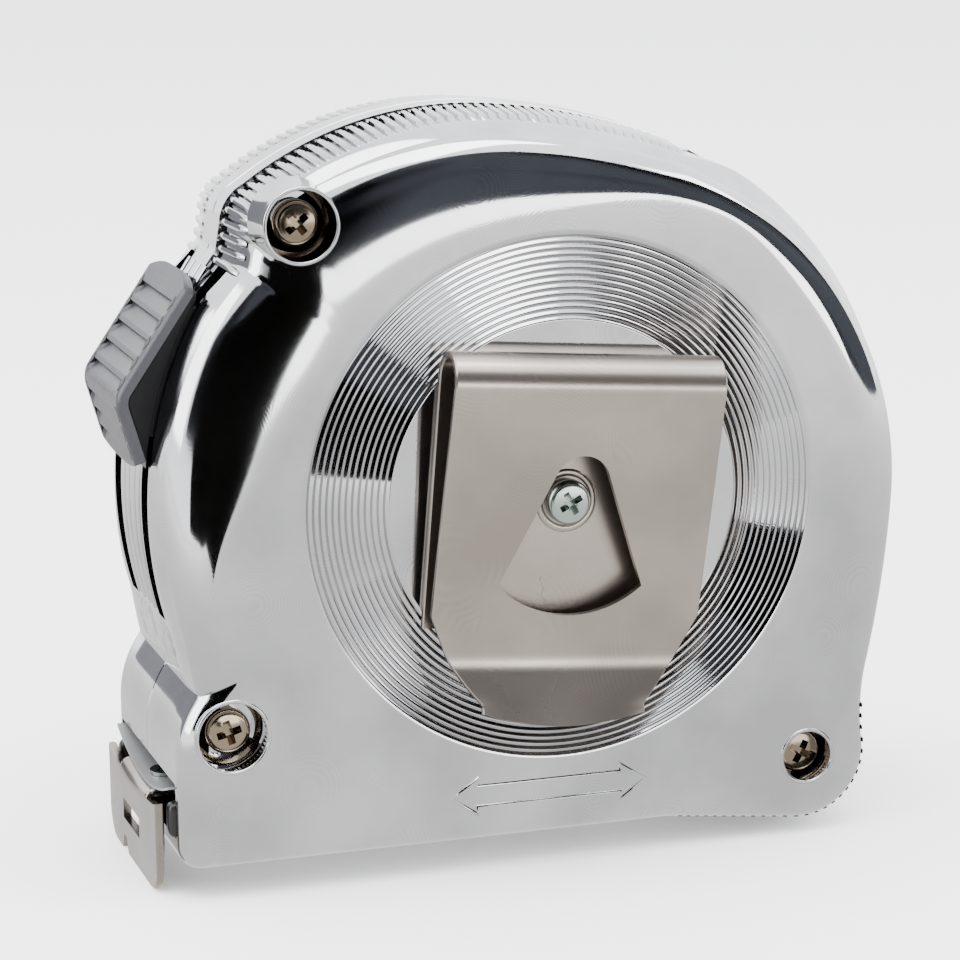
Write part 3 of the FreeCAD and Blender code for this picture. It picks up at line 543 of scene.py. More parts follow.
# Fine arcs of a polishing wheel: the distance to scattered centres, times a ring count, through a sine, and
# faded in and out by a noise.
swirls, swirls_in, swirls_out = texture_group("polish_swirls", {"Cells": 110.0, "Rings": 80.0}, ["Height"])
place = node(swirls, "ShaderNodeTexCoord").outputs["Object"]
cells = node(swirls, "ShaderNodeTexVoronoi", Vector=place, Scale=swirls_in.outputs["Cells"])
phase = math_node(swirls, "MULTIPLY", cells.outputs["Distance"], swirls_in.outputs["Rings"])
wave = math_node(swirls, "SINE", phase)
rubbed = node(swirls, "ShaderNodeTexNoise", Vector=place, Scale=160.0, Detail=2.0).outputs["Fac"]
rubbed = spread_node(swirls, rubbed, 0.47, 0.66)
swirls.links.new(math_node(swirls, "MULTIPLY", wave, rubbed), swirls_out.inputs["Height"])

# Hairline scratches: thin cell borders of a bent grid, kept only where a slow noise is high.
marks, marks_in, marks_out = texture_group("hairlines", {"Cells": 120.0, "Cover": 0.62}, ["Mask"])
place = node(marks, "ShaderNodeTexCoord").outputs["Object"]
bend = node(marks, "ShaderNodeTexNoise", Vector=place, Scale=350.0, Detail=3.0).outputs["Color"]
bent = node(marks, "ShaderNodeMix", {"data_type": "VECTOR"}, i0=0.0035, i4=place, i5=bend).outputs[1]
border = node(marks, "ShaderNodeTexVoronoi", {"feature": "DISTANCE_TO_EDGE"}, Vector=bent,
              Scale=marks_in.outputs["Cells"]).outputs["Distance"]
thin = math_node(marks, "LESS_THAN", border, 0.004)
patch = node(marks, "ShaderNodeTexNoise", Vector=place, Scale=75.0, Detail=1.0).outputs["Fac"]
kept = math_node(marks, "GREATER_THAN", patch, marks_in.outputs["Cover"])
marks.links.new(math_node(marks, "MULTIPLY", thin, kept), marks_out.inputs["Mask"])


def metal(name, colour, roughness, cells, rings, swirl_height, cover, mark_depth, arc_shade=0.3):
    """A polished or brushed metal: colour and gloss drift with a slow noise; wheel arcs and hairlines bump
    it."""
    spread = 0.06
    made, tree, surface = plain_material(name, colour, metallic=1.0, roughness=roughness)
    place = node(tree, "ShaderNodeTexCoord").outputs["Object"]
    drift = node(tree, "ShaderNodeTexNoise", Vector=place, Scale=55.0, Detail=4.0).outputs["Fac"]
    arcs = node(tree, "ShaderNodeGroup", {"node_tree": swirls}, Cells=cells, Rings=rings).outputs["Height"]
    hair = node(tree, "ShaderNodeGroup", {"node_tree": marks}, Cover=cover).outputs["Mask"]
    gloss = spread_node(tree, drift, 0.3, 0.7, roughness - spread / 2, roughness + spread / 2)
    rough = math_node(tree, "ADD", gloss, math_node(tree, "MULTIPLY", hair, 0.2))
    tree.links.new(rough, surface.inputs["Roughness"])
    dull = tuple(channel * 0.7 for channel in colour)
    mottle = spread_node(tree, drift, 0.35, 0.65)
    tone = math_node(tree, "ADD", mottle, spread_node(tree, arcs, -1.0, 1.0, -arc_shade, arc_shade))
    worn = tuple(channel * 0.55 for channel in colour)
    shade = mixed_colour(tree, hair, mixed_colour(tree, tone, colour, dull), worn)
    tree.links.new(shade, surface.inputs["Base Color"])
    first = node(tree, "ShaderNodeBump", Height=arcs, Strength=1.0, Distance=swirl_height * MM)
    second = node(tree, "ShaderNodeBump", {"invert": True}, Height=hair, Strength=1.0,
                  Distance=mark_depth * MM, Normal=first.outputs[0])
    tree.links.new(second.outputs[0], surface.inputs["Normal"])
    return made


def mount(piece, finish, body, slot, *replaced):
    """Give a piece its one finish and its body, and hide the drawn nodes that it stands for; slot is not
    used.
    """
    piece.data.materials.clear()
    piece.data.materials.append(finish)
    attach(piece, body)
    if replaced:
        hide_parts(*replaced)


chrome = metal("plated_case", (0.60, 0.605, 0.62), 0.07, 105.0, 210.0, 0.0004, 0.8, 0.0015, arc_shade=0.13)
clip_side = case_half("clip_side_shell", -1, RINGS_INNER, 0.0)
label_side = case_half("label_side_shell", 1, 24.6, 0.4)
mount(clip_side, chrome, "case", "plated_case", "clip_side_case")
mount(label_side, chrome, "case", "plated_case", "label_side_case")


# ---- grip ribs and heel teeth ----
# Moulded with the case: rounded ribs across the top for the palm, on both sides of the seam strip,
# and a row of small round teeth under and behind the heel.
def bars(name, rows, y_from, y_to, width, height, inset, samples=(9, 7)):
    """One rounded bar at each outline row: half an ellipse across, times an end taper along y."""
    along = np.linspace(0, 1, samples[0])
    across = np.linspace(-1, 1, samples[1])
    taper = np.clip(np.minimum(along / 0.05, (1 - along) / 0.16), 0, 1) ** 0.5
    lift = height * np.outer(taper, (1 - across ** 4) ** 0.5) - 0.08
    y = y_from + (y_to - y_from) * along
    sink = inset(y)
    spots, out = along_edge(edge, rows), along_edge(outward, rows)
    out = out / abs(out)
    run = out * 1j
    narrow = width / 2 * (0.55 + 0.45 * taper)
    place = (spots[:, None, None] + out[:, None, None] * (lift - sink[:, None])
             + run[:, None, None] * (narrow[:, None] * across))
    points = np.stack([place.real, np.broadcast_to(y[:, None], place.shape), place.imag + REEL_HEIGHT], -1)
    starts = np.arange(len(rows))[:, None, None] * samples[0] * samples[1]
    bar_faces = (grid_faces(*samples)[None] + starts).reshape(-1, 4)
    near_end = np.arange(samples[1])
    far_end = near_end + (samples[0] - 1) * samples[1]
    left_side = np.arange(samples[0]) * samples[1]
    floor_ring = np.concatenate([left_side, (left_side + samples[1] - 1)[::-1]])
    caps = [ring + start for ring in (near_end, far_end, floor_ring) for start in starts[:, 0, 0]]
    mount(new_piece(name, points, [*bar_faces, *caps], crease=50), chrome, "case", "plated_case")


def rib_inset(y):
    """Where the ribs stand: on the falling band beside the strip."""
    fall = np.clip((abs(y) - (HALF - STRIP_EDGE)) / (STRIP_EDGE - RIB_FOOT), 0, 1)
    return STRIP_STEP + (BAND_FALL - STRIP_STEP) * fall


for side, label in ((-1, "clip_side"), (1, "label_side")):
    bars(f"{label}_ribs", rib_rows, side * (HALF - STRIP_EDGE), side * (HALF - RIB_FOOT),
         RIB_WIDTH, RIB_HEIGHT, rib_inset)

TEETH_REACH = HALF - 1.6
TEETH_SPAN = (-69.5, -37.0)
TEETH_COUNT = 27
TOOTH_WIDTH = 0.85
TOOTH_HEIGHT = 0.55
tooth_rows = np.interp(np.linspace(*TEETH_SPAN, TEETH_COUNT) % 360, edge_angle[by_angle], by_angle)
for side, label in ((-1, "clip_side"), (1, "label_side")):
    bars(f"{label}_teeth", tooth_rows, side * 0.05, side * TEETH_REACH, TOOTH_WIDTH, TOOTH_HEIGHT,
         lambda y: 0 * y)


# ---- arrow on the face ----
# A raised outline of a double-headed arrow low on the clip side, moulded in; it carries no wording.
def raised_outline(name, corners, width, height):
    """A closed ridge along a polygon: its corners are mitred in and out, with a rounded top between."""
    corner = np.array(corners)
    ahead = np.roll(corner, -1) - corner
    ahead /= abs(ahead)
    behind = np.roll(ahead, 1)
    normal = (ahead + behind) * 1j
    mitre = normal / (abs(normal) ** 2 / 2)
    across = np.array([-0.5, -0.42, -0.25, 0.0, 0.25, 0.42, 0.5]) * width
    rise = np.array([-0.4, 0.3, 0.82, 1, 0.82, 0.3, -0.4]) * height
    place = corner[:, None] + mitre[:, None] * across
    points = upright(place, -HALF - rise + 0.16)
    made = new_piece(name, points, grid_faces(len(corner), 7, wrap_rows=True, wrap_columns=True), crease=40)
    mount(made, chrome, "case", "plated_case")


ARROW_CENTRE = complex(-1.8, -32.2)
ARROW_HALF = 11.1
ARROW_HEAD = 2.9
ARROW_BAR = 1.15
ARROW_WING = 1.95
neck = ARROW_HALF - ARROW_HEAD
top_half = [complex(ARROW_HALF, 0), complex(neck, ARROW_WING), complex(neck, ARROW_BAR),
              complex(-neck, ARROW_BAR), complex(-neck, ARROW_WING)]
arrow = ARROW_CENTRE + np.array([*top_half, *(-point for point in top_half)])
raised_outline("arrow_outline", arrow, 0.5, 0.3)


# ---- track under the slider ----
# Two low rails moulded along the track steady the slider's foot, and a faceted stop closes the track.
RAIL_HEIGHT = 0.2
RAIL_WIDTH = 0.7
RAIL_MIDDLES = (-3.6, -1.3, 1.3, 3.6)
rail_turn = np.radians(np.linspace(0, 180, 9))
rail_section = FRONT_RADIUS - 0.1 + (RAIL_HEIGHT + 0.1) * np.sin(rail_turn)
rail_place = polar(1.0, np.linspace(144.5, 195.0, 60))[:, None] * rail_section
for number, middle in enumerate(RAIL_MIDDLES, start=1):
    rail_points = upright(rail_place, middle + RAIL_WIDTH / 2 * np.cos(rail_turn))
    rail = new_piece(f"track_rail_{number}", rail_points, tube_faces(*rail_place.shape), crease=40)
    mount(rail, chrome, "case", "plated_case")

STOP_ROWS = 9
STOP_COLUMNS = 13
STOP_ROUGH = (0.02, 0.2)
STOP_SUNK = -0.15
chance = np.random.default_rng(7)
stop_start, stop_end = polar(FRONT_RADIUS, 195.6), complex(FRONT + 2.15, -17.6)
stop_middle = stop_start + (stop_end - stop_start) * np.linspace(0, 1, STOP_ROWS)[:, None]
face_out = (stop_end - stop_start) / abs(stop_end - stop_start) * -1j
for side, label in ((-1, "clip_side"), (1, "label_side")):
    rough = chance.uniform(*STOP_ROUGH, (STOP_ROWS, STOP_COLUMNS))
    rough[[0, -1]] = STOP_SUNK
    rough[:, [0, -1]] = STOP_SUNK
    stop_points = upright(stop_middle + face_out * rough, side * np.linspace(0.6, 8.2, STOP_COLUMNS)[None])
    stop = new_piece(f"{label}_track_stop", stop_points, grid_faces(STOP_ROWS, STOP_COLUMNS), crease=4)
    stop.data.polygons.foreach_set("use_smooth", [False] * len(stop.data.polygons))
    mount(stop, chrome, "case", "plated_case")


# ---- screw pockets and case screws ----
# Each pan-head screw sits at the bottom of a round cup in the clip side, with a thin bright rim.
# The heads are warm bright nickel with a cross recess.
def turned(name, profile, spot, segments=64, crease=35.0):
    """A profile of (radius, y) points turned about the line along Y through the spot."""
    profile = np.array(profile, float)
    turn = np.exp(1j * np.arange(segments) * 2 * np.pi / segments)
    place = spot + turn[:, None] * profile[:, 0]
    points = upright(place, profile[:, 1])
    closed = grid_faces(segments, len(profile), wrap_rows=True, wrap_columns=True)
    return new_piece(name, points, closed, crease=crease)


def cross_cutter(spot, y_face, depth, reach, blade, angle):
    """The tapered four-winged point of a driver: two crossed wedges that narrow with depth."""
    corners = ((-1, -1), (1, -1), (1, 1), (-1, 1))
    cutters = []
    for quarter in (0, 90):
        along = polar(1, angle + quarter)
        side = along * 1j
        rings = []
        for y, scale in ((y_face - 0.4, 1.12), (y_face + depth, 0.42)):
            ring = [spot + along * a * reach * scale + side * b * blade * (0.5 + 0.5 * scale)
                    for a, b in corners]
            rings.append(upright(np.array(ring), y))
        cutters.append(prism("cutter", *rings))
    return cutters


def pan_head(radius, y_face, y_seat, crown=0.22):
    """Half profile of a pan head: a shallow domed top, a round shoulder, a straight skirt."""
    rise = y_seat - y_face
    turn = np.radians(np.linspace(0, 90, 9))
    dome = [(radius * 0.72 * t, y_face + crown * t * t) for t in np.linspace(0, 1, 8)]
    shoulder_arc = [(radius * (0.72 + 0.28 * math.sin(a)), y_face + crown + (rise * 0.45) * (1 - math.cos(a)))
                    for a in turn[1:]]
    return [*dome, *shoulder_arc, (radius, y_seat)]


nickel = metal("nickel_screw", (0.29, 0.235, 0.17), 0.13, 240.0, 60.0, 0.0012, 0.6, 0.003)
cup_parts = []
screw_parts = []
SCREW_TURNS = (38.0, 15.0, 62.0)
SEAT_Y = -HALF + 3.6
HEAD_RADIUS = 2.5
HEAD_HEIGHT = 1.8
SHANK = 1.4
RIM_PROUD = 0.12
RIM_WIDTH = 0.42
FLARE = 0.45
for (spot, hole, deep), turn_angle in zip(POCKETS, SCREW_TURNS):
    top = -HALF - RIM_PROUD
    wall = hole + RIM_WIDTH
    lip = [(hole + RIM_WIDTH / 2 + RIM_WIDTH / 2 * math.cos(a), top + RIM_WIDTH / 2 * (1 - math.sin(a)))
           for a in np.radians(np.linspace(180, 0, 9))]
    skirt = [(wall + FLARE * t ** 1.6, top + 0.3 + (deep + 1.0) * t) for t in np.linspace(0.1, 1, 12)]
    cup = turned("cup", [*lip, *skirt, (1.5, skirt[-1][1]), (1.5, -HALF + deep),
                         (hole - 0.5, -HALF + deep), (hole - 0.02, -HALF + deep - 0.5)], spot, segments=96)
    cup_parts.append(cup)
    profile = pan_head(HEAD_RADIUS, SEAT_Y - HEAD_HEIGHT, SEAT_Y)
    screw = turned("screw", [*profile, (SHANK, SEAT_Y), (SHANK, 8.0), (0, 8.6)], spot)
    carve(screw, *cross_cutter(spot, SEAT_Y - HEAD_HEIGHT, 1.25, 1.5, 0.42, turn_angle))
    screw_parts.append(screw)


def joined(name, parts):
    """Several objects' meshes as one object."""
    work = bmesh.new()
    for part in parts:
        work.from_mesh(part.data)
        bpy.data.objects.remove(part)
    mesh = bpy.data.meshes.new(name)
    work.to_mesh(mesh)
    work.free()
    mesh.set_sharp_from_angle(angle=math.radians(35))
    made = bpy.data.objects.new(name, mesh)
    bpy.context.collection.objects.link(made)
    return made


cups = joined("screw_cups", cup_parts)
mount(cups, chrome, "case", "plated_case")
screws = joined("case_screw_set", screw_parts)
mount(screws, nickel, "case", "nickel_screw", "case_screws")


# ---- belt clip ----
# One strip of spring steel, nickel plated: a flat back leaf under the screw, a round fold at the top and
# a sloping front leaf with a kicked-out lip. A fan-shaped opening lets the driver reach the screw.
CLIP_GAUGE = 0.8
CLIP_HALF = 15.1
CLIP_TILT = math.radians(4.9)
FOLD_HEIGHT = 13.0
FOLD_RADIUS = 2.9
CREASE_GAP = 2.4
CREASE_DROP = 17.0
LIP_GAP = 4.8
LIP_DROP = 23.7
LIP_BOW = 1.4


def bent_path(corners, radii, step=0.35):
    """A path of straight runs whose corners are rounded with tangent arcs; complex points, evenly close."""
    pieces = [np.array([corners[0]])]
    for before, corner, after, radius in zip(corners, corners[1:], corners[2:], radii):
        inward, onward = (before - corner) / abs(before - corner), (after - corner) / abs(after - corner)
        half_angle = abs(np.angle(onward / inward)) / 2
        reach = radius / math.tan(half_angle)
        start, end = corner + inward * reach, corner + onward * reach
        centre = corner + (inward + onward) / abs(inward + onward) * radius / math.sin(half_angle)
        middle = centre + (corner - centre) / abs(corner - centre) * radius
        pieces.append(arc(start, middle, end, step / 2))
        pieces.append(np.array([end]))
    pieces.append(np.array([corners[-1]]))
    rough = np.concatenate(pieces)
    length = np.concatenate([[0], np.cumsum(abs(np.diff(rough)))])
    fine = np.unique(np.concatenate([length, np.arange(0, length[-1], step)]))
    return np.interp(fine, length, rough.real) + 1j * np.interp(fine, length, rough.imag)


def strip_ring(gauge, edge_round=0.2, samples=25):
    """Cross-section of a rolled strip: share of the half width, extra across and offset of each point."""
    flat = np.linspace(-1, 1, samples)
    turn = np.radians(np.linspace(90, -90, 5)[1:-1])
    near = np.stack([flat, 0 * flat, 0 * flat + gauge / 2], -1)
    bend = np.stack([0 * turn + 1, edge_round * np.cos(turn), gauge / 2 * np.sin(turn)], -1)
    far = near[::-1] * (1, 1, -1)
    back = np.stack([0 * turn - 1, -edge_round * np.cos(turn), -gauge / 2 * np.sin(turn)], -1)
    return np.concatenate([near, bend, far, back])


fold_top = complex(-HALF - CLIP_GAUGE / 2, FOLD_HEIGHT)
fold_end = complex(-HALF - CLIP_GAUGE / 2 - 2 * FOLD_RADIUS, FOLD_HEIGHT)
crease_point = complex(-HALF - CREASE_GAP - CLIP_GAUGE / 2, -CREASE_DROP)
lip_point = complex(-HALF - LIP_GAP - CLIP_GAUGE / 2, -LIP_DROP)
leaf = np.concatenate([
    line(complex(fold_top.real, -14.0), fold_top, 0.6),
    arc(fold_top, fold_top - FOLD_RADIUS + FOLD_RADIUS * 1j, fold_end, 0.25),
    bent_path([fold_end, crease_point, lip_point], [6.0], 0.4),
])
leaf_tangent = np.gradient(leaf)
leaf_normal = leaf_tangent / abs(leaf_tangent) * 1j
front = np.arange(len(leaf)) > np.argmax(leaf.imag)
half_width = np.where(front, np.interp(leaf.imag, [-22.3, -17, -12], [9.2, 12.8, 15.1]), CLIP_HALF)
ring = strip_ring(CLIP_GAUGE, samples=41)
share = ring[None, :, 0] * (half_width[:, None] - 0.2)
offset_place = leaf[:, None] + leaf_normal[:, None] * ring[None, :, 2]
lip_share = np.clip((-CREASE_DROP - leaf.imag) / (LIP_DROP - CREASE_DROP), 0, 1) * front
bow = (lip_share[:, None] ** 2) * LIP_BOW * ring[None, :, 0] ** 2
clip_x = share + ring[None, :, 1]
clip_w = offset_place.imag + bow
clip_y = offset_place.real
turned_x = clip_x * math.cos(CLIP_TILT) + clip_w * math.sin(CLIP_TILT)
turned_w = clip_w * math.cos(CLIP_TILT) - clip_x * math.sin(CLIP_TILT)
clip_points = np.stack([turned_x, clip_y, turned_w + REEL_HEIGHT], -1)
clip = new_piece("belt_clip_strip", clip_points, tube_faces(len(leaf), len(ring)))

FAN_RADIUS = 11.4
FAN_DROP = 0.5
fan_turn = np.radians(np.linspace(-45, 45, 24))
fan_low = FAN_RADIUS * np.sin(fan_turn) + 1j * (-FAN_DROP - FAN_RADIUS * np.cos(fan_turn))
fan_top = arc(3.0 + 3.6j, 5.8j, -3.0 + 3.6j, 0.4)
fan_shape = np.concatenate([fan_low, fan_top, [-3.0 + 3.6j]])
fan_shape = fan_shape * np.exp(-1j * CLIP_TILT)
carve(clip, prism("cutter", upright(fan_shape, -HALF - CLIP_GAUGE - 0.4), upright(fan_shape, -HALF - 12)))
clip_steel = metal("clip_steel", (0.40, 0.352, 0.315), 0.28, 62.0, 270.0, 0.0005, 0.68, 0.002, arc_shade=0.12)
mount(clip, clip_steel, "case", "clip_steel", "belt_clip")

bead_turn = np.radians(np.linspace(0, 180, 7))
bead = turned("clip_dimple", [(3.05 - 0.42 * math.cos(a), -HALF - CLIP_GAUGE - 0.24 * math.sin(a) + 0.04)
                              for a in bead_turn], 0j, crease=60)
mount(bead, clip_steel, "case", "clip_steel")

# ---- clip screw ----
# A zinc-plated pan-head screw through the back leaf into the spool post. Its cross recess has four short
# ticks between the wings.
zinc = metal("zinc_screw", (0.44, 0.50, 0.46), 0.22, 300.0, 70.0, 0.0015, 0.58, 0.003)
CLIP_SEAT = -HALF - CLIP_GAUGE
CLIP_SCREW_FACE = CLIP_SEAT - HEAD_HEIGHT
profile = pan_head(2.45, CLIP_SCREW_FACE, CLIP_SEAT, crown=0.12)
clip_screw = turned("clip_fixing_screw", [*profile, (1.45, CLIP_SEAT), (1.45, -6.2), (0, -6.0)], 0j)
carve(clip_screw, *cross_cutter(0j, CLIP_SCREW_FACE, 1.1, 1.45, 0.36, 28.0),
      *cross_cutter(0j, CLIP_SCREW_FACE, 0.18, 1.35, 0.07, 28.0 + 45.0))
mount(clip_screw, zinc, "case", "zinc_screw", "clip_screw")


# ---- end hook ----
# Nickel-plated steel, bent from one strip: a tongue under the blade, held by two rivets, and a plate that
# hangs down with a slot for a nail head, a notch and rounded corners.
HOOK_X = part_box("end_hook")[0].x / MM + 0.45
HOOK_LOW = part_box("end_hook")[0].z / MM
HOOK_GAUGE = 0.9
HOOK_HALF = 12.0
TONGUE_HALF = 6.5
CURL = 35.0
BLADE_LOW = 6.3
TONGUE_Z = BLADE_LOW - HOOK_GAUGE / 2
path = bent_path([complex(HOOK_X, HOOK_LOW), complex(HOOK_X, TONGUE_Z), complex(HOOK_X + 9.0, TONGUE_Z)],
                 [0.75], 0.3)
path_tangent = np.gradient(path)
path_normal = path_tangent / abs(path_tangent) * 1j
plate_end = np.argmax(path.imag >= BLADE_LOW - 1.4)
reach = np.full(len(path), HOOK_HALF)
CORNER = 3.4
low_part = path.imag < HOOK_LOW + CORNER
from_corner = HOOK_LOW + CORNER - path.imag[low_part]
reach[low_part] = HOOK_HALF - CORNER + np.sqrt(np.clip(CORNER ** 2 - from_corner ** 2, 0, None))
neck = np.clip((np.arange(len(path)) - plate_end) / 4, 0, 1)
reach = reach * (1 - neck) + TONGUE_HALF * neck
hook_ring = strip_ring(HOOK_GAUGE, edge_round=0.28, samples=33)
hook_y = hook_ring[None, :, 0] * (reach[:, None] - 0.28) + hook_ring[None, :, 1]
hook_place = path[:, None] + path_normal[:, None] * hook_ring[None, :, 2]
lift = CURL - np.sqrt(CURL ** 2 - hook_y ** 2)
curl_share = np.clip((path.imag - HOOK_LOW - 4.0) / (BLADE_LOW - 0.6 - HOOK_LOW - 4.0), 0, 1)[:, None]
hook_points = np.stack([hook_place.real, hook_y, hook_place.imag + lift * curl_share], -1)
hook = new_piece("hook_plate", hook_points, tube_faces(len(path), len(hook_ring)))
CUT_X = (-50, -42.9)
window = new_piece("cutter", block_points((CUT_X[0], -3.2, 0.4), (CUT_X[1], 4.8, 2.7)), BLOCK_FACES)
notch_ring = np.array([(2.5, -0.8), (3.5, 1.7), (4.9, 1.7), (5.9, -0.8)]) + (0, HOOK_LOW)
carve(hook, window, prism("cutter", *(np.insert(notch_ring, 0, x, axis=1) for x in CUT_X)))
hook_steel = metal("hook_steel", (0.34, 0.30, 0.265), 0.2, 70.0, 240.0, 0.0005, 0.58, 0.005)
mount(hook, hook_steel, "hook", "hook_steel", "end_hook")


# ---- mouth bumpers ----
# Two small black rubber buffers in the corners of the mouth, which the hook lands on.
def rounded_block(low, high, power=4.0, rows=20, columns=32):
    """A superellipsoid that fills a box: each spherical coordinate's sine and cosine is raised to 2/power."""
    def soft(value):
        """The value's size raised to 2/power, with its sign kept."""
        return np.sign(value) * abs(value) ** (2 / power)

    lat = np.linspace(-np.pi / 2, np.pi / 2, rows)[:, None]
    lon = np.linspace(0, 2 * np.pi, columns, endpoint=False)[None]
    unit = np.stack([soft(np.cos(lat)) * soft(np.cos(lon)), soft(np.cos(lat)) * soft(np.sin(lon)),
                     soft(np.sin(lat)) * np.ones_like(lon)], -1)
    low, high = np.array(low, float), np.array(high, float)
    return (low + high) / 2 + unit * (high - low) / 2


def pebbled(name, colour, roughness, scale, depth, coat=0.0, specular=0.5):
    """Moulded plastic or rubber: a fine noise bumps it and drifts its gloss and colour."""
    made, tree, surface = plain_material(name, colour, roughness=roughness)
    place = node(tree, "ShaderNodeTexCoord").outputs["Object"]
    grain = node(tree, "ShaderNodeTexNoise", Vector=place, Scale=scale, Detail=3.0).outputs["Fac"]
    slow = node(tree, "ShaderNodeTexNoise", Vector=place, Scale=70.0, Detail=2.0).outputs["Fac"]
    pale = tuple(min(1.0, channel * 1.35 + 0.004) for channel in colour)
    tree.links.new(mixed_colour(tree, slow, colour, pale), surface.inputs["Base Color"])
    rough = spread_node(tree, slow, 0.3, 0.7, roughness * 0.85, min(1.0, roughness * 1.15))
    tree.links.new(rough, surface.inputs["Roughness"])
    bump = node(tree, "ShaderNodeBump", Height=grain, Strength=1.0, Distance=depth * MM)
    tree.links.new(bump.outputs[0], surface.inputs["Normal"])
    surface.inputs["Coat Weight"].default_value = coat
    surface.inputs["Specular IOR Level"].default_value = specular
    return made


rubber = pebbled("bumper_rubber", (0.008, 0.0075, 0.0075), 0.3, 900.0, 0.004, specular=0.3)
BUMPER_INNER = 11.0
BUMPER_X = (-43.3, -40.6)
BUMPER_Z = (MOUTH_LOW, 7.1)
bumper_parts = []
for side in (-1, 1):
    near, far = sorted((side * BUMPER_INNER, side * MOUTH_HALF))
    low = (BUMPER_X[0], near, BUMPER_Z[0])
    high = (BUMPER_X[1], far, BUMPER_Z[1])
    bumper_faces = grid_faces(20, 32, wrap_columns=True)
    bumper_parts.append(new_piece("bumper", rounded_block(low, high), bumper_faces, 80))
bumpers = joined("mouth_buffers", bumper_parts)
mount(bumpers, rubber, "case", "bumper_rubber", "mouth_bumpers")


# ---- lock slider ----
# A black moulded body that straddles the track, under a silver-painted thumb cap with a rounded knee.
# The cap has eight finger notches; each ends in a small black diamond.
KNEE = complex(-43.5, 12.1)
KNEE_ROUND = 3.0
UPPER_SLOPE = 145.4
LOWER_SLOPE = 195.8
UPPER_FACET = 13.7
LOWER_FACET = 6.9
PAD_HALF = 8.6
CAP_GAUGE = 1.2
FOOT_RADIUS = 43.8
LEG_ENDS = (150.0, 169.0)
LEG_PLAY = 0.3
knee_length = math.radians(LOWER_SLOPE - UPPER_SLOPE) * KNEE_ROUND
cap_length = UPPER_FACET + knee_length + LOWER_FACET


def cap_place(run):
    """Point and outward direction at a run along the cap from its top: facet, knee arc, facet."""
    on_knee = np.clip(run - UPPER_FACET, 0, knee_length)
    out = polar(1, UPPER_SLOPE + np.degrees(on_knee / KNEE_ROUND))
    place = KNEE + KNEE_ROUND * out
    place = place + np.clip(UPPER_FACET - run, 0, None) * polar(1, UPPER_SLOPE - 90)
    place = place + np.clip(run - UPPER_FACET - knee_length, 0, None) * polar(1, LOWER_SLOPE + 90)
    return place, out


NOTCHES = np.concatenate([UPPER_FACET - 0.6 - 2.45 * np.arange(5)[::-1],
                          UPPER_FACET + knee_length + 0.3 + 2.15 * np.arange(3)])
NOTCH_DEPTH = 0.55
NOTCH_DROP = 0.14
NOTCH_RAMP = 1.75
cap_rows, cap_columns = 360, 81
run = np.linspace(0, 1, cap_rows)[:, None]
across = np.linspace(-1, 1, cap_columns)[None]
end_round = 1.5 * abs(across) ** 2.6
run = end_round + (cap_length - 1.6 * end_round) * run
past = run[..., None] - NOTCHES
saw = np.where(past < 0, 1 + past / NOTCH_DROP, 1 - past / NOTCH_RAMP)
groove = np.clip(saw, 0, 1).max(-1)
gate = np.clip((0.84 - abs(across)) / 0.04, 0, 1)
place, out = cap_place(run)
y = np.broadcast_to(across * PAD_HALF, place.shape)
side_round = 0.35 * np.clip((abs(across) - 0.94) / 0.06, 0, 1) ** 2
top = place - out * (NOTCH_DEPTH * groove * gate + side_round)
under = place - out * CAP_GAUGE
cap_points = np.concatenate([upright(part, y).reshape(-1, 3) for part in (top, under)])
layer = grid_faces(cap_rows, cap_columns)
index = np.arange(cap_rows * cap_columns).reshape(cap_rows, cap_columns)
rim = np.concatenate([index[0], index[1:, -1], index[-1, -2::-1], index[-2:0:-1, 0]])
wall_faces = np.stack([rim, np.roll(rim, -1), np.roll(rim, -1) + index.size, rim + index.size], -1)
cap = new_piece("thumb_cap", cap_points, [*layer, *(layer + index.size), *wall_faces], crease=28)
silver = pebbled("pad_silver", (0.04, 0.04, 0.046), 0.38, 1500.0, 0.03)
silver.node_tree.nodes["Principled BSDF"].inputs["Metallic"].default_value = 0.6
mount(cap, silver, "lock", "pad_silver", "lock_cap")

diamond_run, diamond_out = cap_place(NOTCHES + 0.12)
diamonds = []
for spot, out_one in zip(diamond_run, diamond_out):
    for side in (-1, 1):
        flow = out_one * 1j
        y_corners = side * PAD_HALF * 0.865 + np.array([0, 0.6, 0, -0.6])
        rings = [upright(spot + out_one * depth + flow * np.array([0.9, 0, -0.9, 0]), y_corners)
                 for depth in (-0.3, 0.035)]
        diamonds.append(prism("mark", *rings))
black = pebbled("black_plastic", (0.004, 0.004, 0.0045), 0.3, 600.0, 0.003, specular=0.12)
notch_ends = joined("notch_ends", diamonds)
mount(notch_ends, black, "lock", "black_plastic")

inset = 0.02 + CAP_GAUGE
on_knee = np.linspace(UPPER_FACET, UPPER_FACET + knee_length, 12)
body_runs = np.concatenate([[0.9], on_knee, [cap_length - 1.0]])
body_place, body_out = cap_place(body_runs)
body_outer = body_place - body_out * inset
foot = polar(FOOT_RADIUS, np.linspace(173.6, 149.1, 24))
body_loop = np.concatenate([body_outer, foot])
taper = np.concatenate([np.full(len(body_outer), PAD_HALF - 0.12), np.full(len(foot), PAD_HALF - 0.55)])
slider = prism("slider_body", upright(body_loop, -taper), upright(body_loop, taper))
legs = [sector_cutter(38.5, FOOT_RADIUS + 0.6, *LEG_ENDS,
                      side * (SLOT_NEAR + LEG_PLAY), side * (SLOT_FAR - LEG_PLAY)) for side in (-1, 1)]
slider_parts = joined("lock_slider_body", [slider, *legs])
rounding = slider_parts.modifiers.new("rounding", "BEVEL")
rounding.width = 0.22 * MM
rounding.segments = 2
rounding.limit_method = "ANGLE"
rounding.angle_limit = math.radians(40)
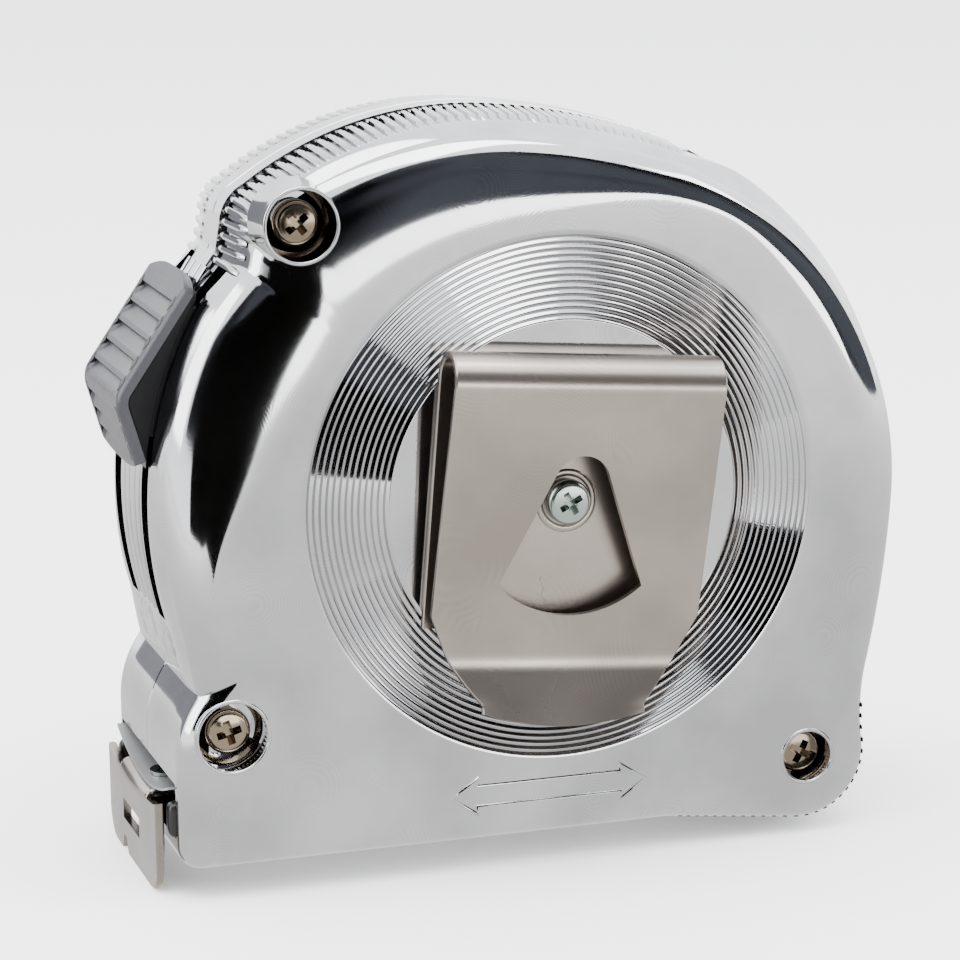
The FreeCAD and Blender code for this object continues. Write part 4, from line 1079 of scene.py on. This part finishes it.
mount(slider_parts, black, "lock", "black_plastic", "lock_slider")


# ---- working parts inside ----
# The spool, its spring, the wound blade and the lock's arm keep the shapes they were designed with.
# Plain nylon, blued spring steel, lacquered blade steel in a dark grey that is painted shade for the blade's
# shaded place inside the mouth, and a vinyl label on the far side.
nylon = pebbled("inner_plastic", (0.06, 0.06, 0.065), 0.45, 500.0, 0.006)
blued = metal("spring_steel", (0.20, 0.22, 0.27), 0.28, 200.0, 60.0, 0.001, 0.6, 0.003)
# The blade's dark grey is painted shade: the lacquered blade is darkened to stand for the shade it lies in
# inside the mouth.
blade_paint = pebbled("blade_paint", (0.13, 0.132, 0.135), 0.42, 1200.0, 0.002, coat=0.12)


def ring_label(name, dark, pale):
    """A plain round label: the distance from the reel axis picks a dark field with one pale ring near the
    rim."""
    made, tree, surface = plain_material(name, dark, roughness=0.35)
    place = node(tree, "ShaderNodeTexCoord").outputs["Object"]
    centred = node(tree, "ShaderNodeMapping", Vector=place, Location=(0, 0, -REEL_HEIGHT * MM),
                   Scale=(1, 0, 1))
    away = node(tree, "ShaderNodeVectorMath", {"operation": "LENGTH"}, i0=centred.outputs[0]).outputs[1]
    near_ring = math_node(tree, "ABSOLUTE", math_node(tree, "SUBTRACT", away, 20.5 * MM))
    on_ring = math_node(tree, "LESS_THAN", near_ring, 0.8 * MM)
    grain = node(tree, "ShaderNodeTexNoise", Vector=place, Scale=800.0, Detail=2.0).outputs["Fac"]
    tree.links.new(mixed_colour(tree, on_ring, dark, pale), surface.inputs["Base Color"])
    bump = node(tree, "ShaderNodeBump", Height=grain, Strength=1.0, Distance=0.004 * MM)
    tree.links.new(bump.outputs[0], surface.inputs["Normal"])
    return made


vinyl = ring_label("label_vinyl", (0.05, 0.055, 0.07), (0.5, 0.5, 0.5))
INNER_FINISHES = {
    "spool_post": nylon, "spool_drum": nylon, "spool_flange": nylon, "blade_guide": nylon,
    "power_spring": blued, "blade_coil": blade_paint, "blade_lead": blade_paint, "hook_rivets": zinc,
    "lock_arm": black, "brake_pad": rubber, "label_disc": vinyl,
}
for name, finish in INNER_FINISHES.items():
    for place in frame["nodes"][name].material_slots:
        place.material = finish
